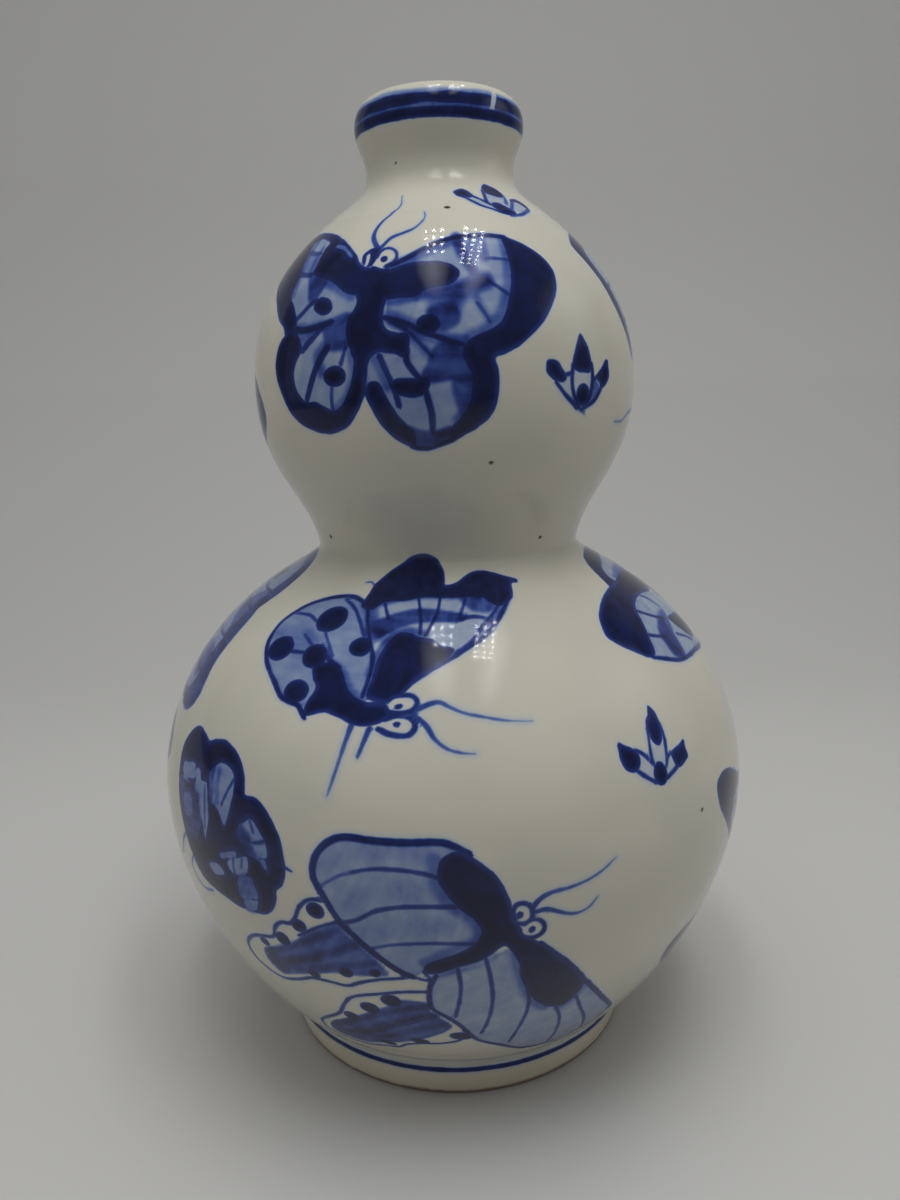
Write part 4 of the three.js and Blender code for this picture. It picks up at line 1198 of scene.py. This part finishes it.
    def join(self) -> None:
        """Give every line room for its own edge, except where another line comes near."""
        other = self.layers.pop("other")
        self.layers["line"] = self.layers["line"] + 0.25 * (1 - rise(other, -1.4, -0.7))

    def fleck(self, turn: float, height: float, radius: float) -> None:
        """Burn one iron speck into the glaze."""
        x, y = self.local(turn, height)
        self.layers["speck"] = np.maximum(self.layers["speck"], np.clip(radius - np.hypot(x, 1.3 * y), FAR, -FAR))


@dataclass(frozen=True)
class GlazeFinish:
    """Clear glaze, fired glossy over white slip and cobalt painting."""

    name: str
    ground: str
    shade: str
    roughness: float
    bare_edge: float = 0.0
    bare: str = "#8A7662"
    cobalt: tuple[tuple[float, str], ...] = (
        (0.0, "#C4C5C2"), (0.12, "#A4AEBC"), (0.25, "#7E8FB0"), (0.4, "#566AA2"), (0.55, "#374D90"), (0.7, "#253676"),
        (0.85, "#182356"), (1.0, "#0D1330"))
    speck: str = "#2E261C"
    # Below a glaze's usual 1.5, because the dark areas mirror the floor only faintly
    ior: float = 1.4
    ripple_mm: float = 9.0
    ripple_depth_mm: float = 0.16
    breath_mm: float = 34.0
    bristle_mm: float = 2.0
    bristle_run_mm: float = 18.0
    cloud_mm: float = 6.0
    waver_mm: float = 2.6
    waver_reach: float = 0.09

    def material(self) -> bpy.types.Material:
        """Mix the glaze.

        Returns:
            A material that reads the painted layers of the piece that wears it.
        """
        made = bpy.data.materials.new(self.name)
        made.use_nodes = True
        tree = made.node_tree
        tree.nodes.clear()
        place = add_node(tree, "ShaderNodeTexCoord", {}, {}).outputs["Object"]
        layer = {name: add_node(tree, "ShaderNodeAttribute", {"attribute_name": name}, {}).outputs["Fac"]
                 for name in ("tint", "dark", "line", "across", "half", "load", "speck")}
        # Edges of the brush waver a little
        waver = add_node(tree, NOISE, {}, {
            "Vector": place, "Scale": 1 / (self.waver_mm * MM), "Detail": 2.0, "Roughness": 0.5}).outputs[0]
        shift = add_node(tree, RANGE, SMOOTH, {
            0: waver, 1: 0.2, 2: 0.8, 3: -self.waver_reach, 4: self.waver_reach}).outputs[0]
        strength = self.strength(tree, layer, shift)
        ramp = add_node(tree, "ShaderNodeValToRGB", {}, {"Fac": strength})
        stops = ramp.color_ramp.elements
        stops[0].color, stops[1].color = linear(self.cobalt[0][1]), linear(self.cobalt[-1][1])
        for at, code in self.cobalt[1:-1]:
            stops.new(at).color = linear(code)
        breath = add_node(tree, NOISE, {}, {
            "Vector": place, "Scale": 1 / (self.breath_mm * MM), "Detail": 2.0}).outputs[0]
        uneven = add_node(tree, RANGE, SMOOTH, {0: breath, 1: 0.3, 2: 0.7}).outputs[0]
        body = add_node(tree, MIX, COLOUR, {0: uneven, 6: linear(self.ground), 7: linear(self.shade)}).outputs[2]
        painted = add_node(tree, RANGE, SMOOTH, {0: strength, 1: 0.0, 2: 0.1}).outputs[0]
        body = add_node(tree, MIX, COLOUR, {0: painted, 6: body, 7: ramp.outputs["Color"]}).outputs[2]
        flecked = add_node(tree, RANGE, SMOOTH, {0: layer["speck"], 1: -0.35, 2: 0.25}).outputs[0]
        body = add_node(tree, MIX, COLOUR, {0: flecked, 6: body, 7: linear(self.speck)}).outputs[2]
        rough: float | bpy.types.NodeSocket = self.roughness
        if self.bare_edge:
            # Bare clay up to the edge that was wiped, duller than the glaze
            height = add_node(tree, "ShaderNodeSeparateXYZ", {}, {0: place}).outputs[2]
            worn = add_node(tree, MATH, TIMES_PLUS, {0: shift, 1: 2.5 * MM, 2: height}).outputs[0]
            naked = add_node(tree, RANGE, SMOOTH, {
                0: worn, 1: self.bare_edge * MM, 2: 0.4 * self.bare_edge * MM}).outputs[0]
            body = add_node(tree, MIX, COLOUR, {0: naked, 6: body, 7: linear(self.bare)}).outputs[2]
            rough = add_node(tree, MATH, TIMES_PLUS, {0: naked, 1: 0.5, 2: self.roughness}).outputs[0]
        # A fired glaze is never quite flat: its ripple breaks the edges of reflections
        ripple = add_node(tree, NOISE, {}, {
            "Vector": place, "Scale": 1 / (self.ripple_mm * MM), "Detail": 1.0}).outputs[0]
        skin = add_node(tree, "ShaderNodeBump", {}, {
            "Strength": 0.35, "Distance": self.ripple_depth_mm * MM, "Height": ripple}).outputs[0]
        shader = add_node(tree, "ShaderNodeBsdfPrincipled", {}, {
            "Base Color": body, "Roughness": rough, "IOR": self.ior, "Normal": skin})
        add_node(tree, "ShaderNodeOutputMaterial", {}, {"Surface": shader.outputs[0]})
        return made

    def strength(self, tree: bpy.types.NodeTree, layer: dict[str, bpy.types.NodeSocket],
                 shift: bpy.types.NodeSocket) -> bpy.types.NodeSocket:
        """Add up the cobalt of the washes, the full areas and the lines.

        Args:
            tree: The material's node tree.
            layer: The painted layers.
            shift: How far the brush's edge wavers, in millimetres.

        Returns:
            The cobalt's strength, from nought to one.
        """
        grain = add_node(tree, "ShaderNodeAttribute", {"attribute_name": "grain"}, {}).outputs["Vector"]
        # Bristle marks, long along the stroke and narrow across it, and clouds where the wash pooled
        stretched = add_node(tree, "ShaderNodeMapping", {}, {
            "Vector": grain, "Scale": (1 / self.bristle_run_mm, 1 / self.bristle_mm, 1.0)}).outputs[0]
        bristle = add_node(tree, NOISE, {}, {
            "Vector": stretched, "Scale": 1.0, "Detail": 2.0, "Roughness": 0.5}).outputs[0]
        cloud = add_node(tree, NOISE, {}, {
            "Vector": grain, "Scale": 1 / self.cloud_mm, "Detail": 3.0, "Roughness": 0.55}).outputs[0]
        streak = add_node(tree, RANGE, SMOOTH, {0: bristle, 1: 0.25, 2: 0.75, 3: 0.91, 4: 1.09}).outputs[0]
        pool = add_node(tree, RANGE, SMOOTH, {0: cloud, 1: 0.25, 2: 0.75, 3: 0.82, 4: 1.18}).outputs[0]
        pale = add_node(tree, MATH, TIMES, {0: layer["tint"], 1: streak}).outputs[0]
        pale = add_node(tree, MATH, TIMES, {0: pale, 1: pool}).outputs[0]
        # Full areas are darkest in the middle, with a bluer rim where the brush first went round
        middle = add_node(tree, RANGE, SMOOTH, {0: layer["dark"], 1: 0.1, 2: 1.5, 3: 0.74, 4: 0.94}).outputs[0]
        patchy = add_node(tree, RANGE, SMOOTH, {0: cloud, 1: 0.25, 2: 0.75, 3: -0.05, 4: 0.06}).outputs[0]
        full = add_node(tree, MATH, PLUS, {0: middle, 1: patchy}).outputs[0]
        inner = add_node(tree, MATH, PLUS, {0: layer["dark"], 1: shift}).outputs[0]
        inside = add_node(tree, RANGE, SMOOTH, {0: inner, 1: -0.24, 2: 0.22}).outputs[0]
        full = add_node(tree, MATH, TIMES, {0: full, 1: inside}).outputs[0]
        # A line is as deep as its half width less the distance across it, and ends where the stroke does
        aside = add_node(tree, MATH, {"operation": "ABSOLUTE"}, {0: layer["across"]}).outputs[0]
        thin = add_node(tree, MATH, LESS, {0: layer["half"], 1: aside}).outputs[0]
        thin = add_node(tree, MATH, {"operation": "MINIMUM"}, {0: thin, 1: layer["line"]}).outputs[0]
        thin = add_node(tree, MATH, PLUS, {0: thin, 1: shift}).outputs[0]
        inside = add_node(tree, RANGE, SMOOTH, {0: thin, 1: -0.3, 2: 0.34}).outputs[0]
        drawn = add_node(tree, MATH, TIMES, {0: layer["load"], 1: inside}).outputs[0]
        dry = add_node(tree, RANGE, SMOOTH, {0: cloud, 1: 0.25, 2: 0.75, 3: 0.8, 4: 0.98}).outputs[0]
        drawn = add_node(tree, MATH, TIMES, {0: drawn, 1: dry}).outputs[0]
        strong = add_node(tree, MATH, MOST, {0: full, 1: drawn}).outputs[0]
        # Thin layers add up without passing full strength
        room = add_node(tree, MATH, LESS, {0: 1.0, 1: strong}).outputs[0]
        strong = add_node(tree, MATH, TIMES_PLUS, {0: pale, 1: room, 2: strong}).outputs[0]
        # The cobalt bleeds a little into the glaze round its darkest edges
        near = add_node(tree, MATH, MOST, {0: layer["dark"], 1: layer["line"]}).outputs[0]
        bleed = add_node(tree, RANGE, SMOOTH, {0: near, 1: -1.5, 2: 0.2, 3: 0.0, 4: 0.07}).outputs[0]
        return add_node(tree, MATH, MOST, {0: strong, 1: bleed}).outputs[0]


# Off-white glossy glaze, faintly warm and uneven, that pools a little and shows the lamps sharply
BODY_GLAZE = GlazeFinish("clear_glaze_over_cobalt", "#CAC7B8", "#C2C0B2", 0.078)
# The same glaze thinner and creamier on the foot, and painted lighter there to make up for the shade that falls low on
# the vase; wiped off the edge that stood in the kiln
LIGHTENED_FOOT_GLAZE = GlazeFinish("thin_cream_glaze_painted_lighter", "#D6CFBA", "#CEC7B3", 0.2, 1.7)


@dataclass
class Section:
    """One section of the vase: its outline is drawn as a curve, turned into a mesh and spun round the axis."""

    name: str
    outline: Array
    nodes: tuple[str, ...]
    slot: str
    steps: int
    piece: bpy.types.Object | None = None

    def build(self) -> None:
        """Spin the outline into a closed shell at the origin."""
        bpy.ops.object.select_all(action="DESELECT")
        curve = bpy.data.curves.new(self.name, "CURVE")
        curve.dimensions = "3D"
        spline = curve.splines.new("POLY")
        spline.points.add(len(self.outline) - 1)
        row = np.zeros((len(self.outline), 4))
        row[:, 1], row[:, 2], row[:, 3] = self.outline[:, 0] * MM, self.outline[:, 1] * MM, 1.0
        spline.points.foreach_set("co", row.ravel())
        spline.use_cyclic_u = bool(self.outline[:, 0].min() > 0.01)
        self.piece = bpy.data.objects.new(self.name, curve)
        bpy.context.scene.collection.objects.link(self.piece)
        bpy.context.view_layer.objects.active = self.piece
        self.piece.select_set(True)
        bpy.ops.object.convert(target="MESH")
        self.piece = bpy.context.view_layer.objects.active
        turn = self.piece.modifiers.new("turn", "SCREW")
        turn.axis, turn.angle, turn.steps, turn.render_steps = "Z", 2 * math.pi, self.steps, self.steps
        bpy.ops.object.modifier_apply(modifier="turn")
        bpy.ops.object.mode_set(mode="EDIT")
        bpy.ops.mesh.select_all(action="SELECT")
        bpy.ops.mesh.remove_doubles(threshold=0.02 * MM)
        bpy.ops.mesh.normals_make_consistent(inside=False)
        bpy.ops.object.mode_set(mode="OBJECT")
        bpy.ops.object.shade_smooth_by_angle(angle=math.radians(35))

    def dress(self, profile: Profile, material: bpy.types.Material) -> None:
        """Paint the outer wall, lay out the bake map and put the piece in the frame.

        Args:
            profile: The vase's curves.
            material: The glaze that the section wears.
        """
        mesh = self.piece.data
        place = np.empty(len(mesh.vertices) * 3)
        mesh.vertices.foreach_get("co", place)
        place = place.reshape(-1, 3) / MM
        curve = profile.whole()
        rising = np.append(True, np.diff(curve[:, 1]) > 0)
        curve = curve[rising]
        length = np.append(0, np.cumsum(np.hypot(*np.diff(curve, axis=0).T)))
        radius = np.hypot(place[:, 0], place[:, 1])
        outer = np.abs(radius - np.interp(place[:, 2], curve[:, 1], curve[:, 0])) < OUTER_REACH
        turn = np.arctan2(place[:, 0], -place[:, 1])
        arc = np.interp(place[:, 2], curve[:, 1], length)
        wall = np.flatnonzero(outer)
        painting = Painting(turn[wall], arc[wall], curve, length)
        for number, placing in enumerate(PAINTING):
            painting.lay(placing, number)
        painting.trim(Trim())
        for speck in SPECKS:
            painting.fleck(*speck)
        painting.join()
        for name, values in painting.layers.items():
            full = np.full(len(place), BARE_WALL[name])
            full[wall] = values
            mesh.attributes.new(name, "FLOAT", "POINT").data.foreach_set("value", full)
        full = np.zeros((len(place), 3))
        full[wall] = painting.grain
        mesh.attributes.new("grain", "FLOAT_VECTOR", "POINT").data.foreach_set("vector", full.ravel())
        self.lay_out(turn, arc, outer)
        mesh.materials.clear()
        mesh.materials.append(material)
        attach(self.piece, BODY)
        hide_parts(*self.nodes)

    def lay_out(self, turn: Array, arc: Array, outer: Array) -> None:
        """Lay the outer wall on the bake map in three rows and everything else in a strip above them."""
        mesh = self.piece.data
        corners = np.empty(len(mesh.loops), int)
        mesh.loops.foreach_get("vertex_index", corners)
        starts = np.empty(len(mesh.polygons), int)
        mesh.polygons.foreach_get("loop_start", starts)
        counts = np.empty(len(mesh.polygons), int)
        mesh.polygons.foreach_get("loop_total", counts)
        face = np.repeat(np.arange(len(counts)), counts)
        ahead = turn[corners]
        first = ahead[starts][face]
        ahead = first + (ahead - first + np.pi) % (2 * np.pi) - np.pi
        middle = np.bincount(face, ahead) / counts
        middle = (middle[face] + np.pi) % (2 * np.pi) / (2 * np.pi) * MAP_ROWS
        row = np.clip(np.floor(middle), 0, MAP_ROWS - 1)
        across = (ahead + np.pi) / (2 * np.pi) * MAP_ROWS - row
        across = across - MAP_ROWS * np.round((across - (middle - row)) / MAP_ROWS)
        painted = (np.bincount(face, outer[corners].astype(float)) / counts > 0.99)[face]
        low, high = arc[outer].min(), arc[outer].max()
        up = np.clip((arc[corners] - low) / max(high - low, 1e-6), 0, 1)
        flat = np.empty((len(corners), 2))
        flat[:, 0] = 0.01 + 0.98 * np.clip(across, -0.01, 1.01)
        flat[:, 1] = 0.005 + 0.3 * row + 0.285 * up
        place = np.empty(len(mesh.vertices) * 3)
        mesh.vertices.foreach_get("co", place)
        place = place.reshape(-1, 3)[corners] / MM
        reach = np.abs(place).max()
        inner = np.stack([0.5 + 0.49 * place[:, 0] / reach, 0.95 + 0.04 * place[:, 1] / reach], 1)
        flat = np.where(painted[:, None], flat, inner)
        layer = mesh.uv_layers.new(name="OFBake")
        layer.data.foreach_set("uv", flat.ravel())


@dataclass(frozen=True)
class Vase:
    """The whole vase, section by section from the foot to the lip."""

    profile: Profile = Profile()
    row: float = 0.62
    fine_row: float = 0.44
    inner_row: float = 7.0

    def sections(self) -> list[Section]:
        """Draw the outline of every section.

        Returns:
            The sections, ready to be built.
        """
        p = self.profile
        curves = p.outside()
        foot = np.concatenate([even(curves["foot"], 0.5), self.foot_inside()])
        bowl = even(curves["bowl"], self.row)
        base = bowl[0, 1]
        floor = np.array([p.floor_radius, base + 0.5 * p.slip + p.floor_thickness])
        rim = np.array([p.belly_radius - p.wall, bowl[-1, 1]])
        swell, sweep = np.array([0, p.bowl_inner_swell]), np.array([p.floor_sweep, 0])
        inside = even(p.bezier([rim, rim - swell, floor + sweep, floor]), self.inner_row)
        bowl = np.concatenate([[[0.0, base]], [[p.foot_radius - p.foot_width, base]], bowl, inside, [[0.0, floor[1]]]])
        steps = {"large": 688, "small": 720, "neck": 480, "foot": 384}
        return [
            Section("foot_ring_glazed", foot, ("foot_ring", "foot_slip"), "foot_glaze", steps["foot"]),
            Section("lower_bowl_painted", bowl, ("lower_bowl", "belly_slip"), "body_glaze", steps["large"]),
            Section("lower_dome_painted", self.shell(curves["dome"], self.row), ("lower_dome", "waist_slip"),
                    "body_glaze", steps["large"]),
            Section("upper_bowl_painted", self.shell(curves["upper_bowl"], self.fine_row),
                    ("upper_bowl", "upper_belly_slip"), "body_glaze", steps["small"]),
            Section("upper_dome_painted", self.shell(curves["upper_dome"], self.fine_row), ("upper_dome", "neck_slip"),
                    "body_glaze", steps["small"]),
            Section("neck_painted", self.neck(curves["neck"]), ("neck",), "body_glaze", steps["neck"]),
        ]

    def shell(self, curve: Array, row: float) -> Array:
        """Give the closed outline of a section with an even wall."""
        return np.concatenate([even(curve, row), even(set_in(curve, self.profile.wall), self.inner_row)])

    def foot_inside(self) -> Array:
        """Give the inner side of the foot ring, from its top down to the sole."""
        p = self.profile
        top = p.foot_height + 0.5 * p.slip
        inner = p.foot_radius - p.foot_width
        sole = p.foot_radius - p.foot_taper - p.foot_sole
        wear = p.bezier([np.array([sole, p.foot_edge]), np.array([sole, 0.0]), np.array([sole + p.foot_edge, 0.0])], 8)
        return np.concatenate([[[inner, top]], wear])

    def neck(self, curve: Array) -> Array:
        """Give the neck's outline, over the crest and down the mouth."""
        p = self.profile
        crest = curve[-1, 1]
        angle = np.linspace(np.pi / 2, np.pi, 14)[1:]
        lip = np.stack([p.crest_radius + (p.crest_radius - p.mouth_radius) * np.cos(angle),
                        crest - p.lip_inner_drop + p.lip_inner_drop * np.sin(angle)], 1)
        slope = p.leaning(-p.shoulder_slope)
        base = curve[0] + p.wall * np.array([-slope[1], slope[0]])
        throat = np.array([p.mouth_radius, crest - p.lip_height - p.flare_height])
        inside = p.bezier([throat, throat - np.array([0, p.neck_swell]), base + p.neck_sweep * slope, base], 12)
        return np.concatenate([even(curve, 0.4), lip, inside])


@dataclass(frozen=True)
class Lamp:
    """A flat lamp: its place and size in metres, its power, and its turn about Y in degrees from facing down."""

    name: str
    place: tuple[float, float, float]
    size: tuple[float, float]
    watts: float
    tilt: float = 0.0
    mirrored: bool = False

    def hang(self) -> None:
        """Hang the lamp: one that shows in the glaze is round, and the others only shed their light."""
        light = bpy.data.lights.new(self.name, "AREA")
        light.shape = "ELLIPSE" if self.mirrored else "RECTANGLE"
        light.size, light.size_y = self.size
        light.energy = self.watts
        lamp = bpy.data.objects.new(self.name, light)
        lamp.location = self.place
        lamp.rotation_euler = (0.0, math.radians(self.tilt), 0.0)
        lamp.visible_glossy = self.mirrored
        bpy.context.scene.collection.objects.link(lamp)

    def glow(self) -> None:
        """Hang lamps of growing size and failing strength in one place, which the glaze mirrors without an edge.

        The power is then that of a square metre of the smallest lamp, about.
        """
        for part in (0.15, 0.27, 0.39, 0.51, 0.63, 0.75, 0.87, 1.0):
            width, length = part * self.size[0], part * self.size[1]
            watts = self.watts * (1 - 0.85 * part) * width * length
            replace(self, size=(width, length), watts=watts, mirrored=True).hang()


@dataclass(frozen=True)
class Studio:
    """The plain pale sweep, the soft lamps and the camera."""

    paper: str = "#C6C5C2"
    half_width: float = 2.4
    front: float = -1.6
    back: float = 0.62
    top: float = 1.8
    cove: float = 0.34
    short_row: tuple[float, ...] = (-0.1, -0.064, -0.028, 0.008)
    long_row: tuple[float, ...] = (-0.16, -0.133, -0.106, -0.079, -0.052, -0.025, 0.002, 0.029)
    short_middle: float = -0.02
    long_middle: float = 0.098
    row_height: float = 0.62
    lamp_step: float = 0.024
    lamp_size: float = 0.007
    lamp_watts: float = 0.0085
    glows: tuple[Lamp, ...] = (
        Lamp("left_glow", (-0.035, -0.21, 0.62), (0.12, 0.4), 8.9),
        Lamp("right_glow", (0.132, -0.19, 0.62), (0.1, 0.46), 10.0),
        Lamp("window", (0.92, -0.06, 0.68), (0.6, 0.84), 2.1, 57.0),
    )
    panels: tuple[Lamp, ...] = (
        Lamp("top_panel", (0.02, -0.12, 0.9), (0.8, 0.8), 3.1),
        Lamp("left_panel", (-1.1, 0.0, 0.6), (1.1, 1.3), 2.3, -66.0),
        Lamp("right_panel", (1.1, 0.0, 0.6), (1.1, 1.3), 1.0, 66.0),
    )
    room: str = "#E4E6EA"
    room_strength: float = 0.2
    eye: tuple[float, float, float] = (0.0, -0.23045, 0.16176)
    pitch: float = 12.336
    roll: float = 1.291
    yaw: float = 0.039
    lens: float = 27.0

    def sweep(self) -> None:
        """Roll out the paper: a floor that turns up into a backdrop in a wide cove."""
        bpy.ops.object.select_all(action="DESELECT")
        bpy.ops.mesh.primitive_plane_add(size=2, location=(0, 0, 0))
        paper = bpy.context.view_layer.objects.active
        paper.name = "studio_sweep"
        bpy.ops.object.mode_set(mode="EDIT")
        bpy.ops.mesh.select_all(action="SELECT")
        bpy.ops.transform.resize(value=(self.half_width, 0.5 * (self.back - self.front), 1))
        bpy.ops.transform.translate(value=(0, 0.5 * (self.back + self.front), 0))
        bpy.ops.object.mode_set(mode="OBJECT")
        for edge in paper.data.edges:
            edge.select = all(paper.data.vertices[i].co.y > self.back - 0.01 for i in edge.vertices)
        for face in paper.data.polygons:
            face.select = False
        for vertex in paper.data.vertices:
            vertex.select = vertex.co.y > self.back - 0.01
        bpy.ops.object.mode_set(mode="EDIT")
        bpy.ops.mesh.extrude_region_move(TRANSFORM_OT_translate={"value": (0, 0, self.top)})
        bpy.ops.object.mode_set(mode="OBJECT")
        bevel = paper.modifiers.new("cove", "BEVEL")
        bevel.width, bevel.segments, bevel.limit_method = self.cove, 24, "ANGLE"
        bpy.ops.object.modifier_apply(modifier="cove")
        bpy.ops.object.shade_smooth()
        made = bpy.data.materials.new("matt_paper")
        made.use_nodes = True
        made.node_tree.nodes.clear()
        shader = add_node(made.node_tree, "ShaderNodeBsdfPrincipled", {}, {
            "Base Color": linear(self.paper), "Roughness": 0.9})
        add_node(made.node_tree, "ShaderNodeOutputMaterial", {}, {"Surface": shader.outputs[0]})
        paper.data.materials.append(made)

    def light(self) -> None:
        """Light the vase with soft panels and the room; two rows of small lamps and soft glows show in the glaze."""
        for middle, row in ((self.short_middle, self.short_row), (self.long_middle, self.long_row)):
            for along in row:
                for place in (-1, 0, 1):
                    spot = (middle + place * self.lamp_step, along, self.row_height)
                    Lamp("row_lamp", spot, (self.lamp_size, self.lamp_size), self.lamp_watts, mirrored=True).hang()
        for lamp in self.glows:
            lamp.glow()
        for lamp in self.panels:
            lamp.hang()
        world = bpy.data.worlds.new("room")
        world.use_nodes = True
        background = world.node_tree.nodes["Background"]
        background.inputs["Color"].default_value = linear(self.room)
        background.inputs["Strength"].default_value = self.room_strength
        bpy.context.scene.world = world

    def camera(self) -> None:
        """Stand the camera where the photograph was taken from."""
        data = bpy.data.cameras.new("camera")
        data.sensor_width, data.sensor_fit, data.lens, data.clip_start = 36.0, "AUTO", self.lens, 0.01
        camera = bpy.data.objects.new("camera", data)
        aim = (Matrix.Rotation(math.radians(-self.yaw), 4, "Z") @ Matrix.Rotation(math.radians(90 - self.pitch), 4, "X")
               @ Matrix.Rotation(math.radians(-self.roll), 4, "Z"))
        camera.matrix_world = Matrix.Translation(self.eye) @ aim
        bpy.context.scene.collection.objects.link(camera)
        bpy.context.scene.camera = camera


def main() -> None:
    """Build the vase and the studio."""
    logging.basicConfig(level=logging.INFO, format="%(name)s: %(message)s")
    bpy.context.scene.view_settings.view_transform = "Standard"
    studio = Studio()
    studio.camera()
    studio.light()
    studio.sweep()
    vase = Vase()
    glazes = {"body_glaze": BODY_GLAZE.material(), "foot_glaze": LIGHTENED_FOOT_GLAZE.material()}
    for section in vase.sections():
        section.build()
        section.dress(vase.profile, glazes[section.slot])
        LOG.info("%s: %d faces", section.name, len(section.piece.data.polygons))


if __name__ == "__main__":
    main()
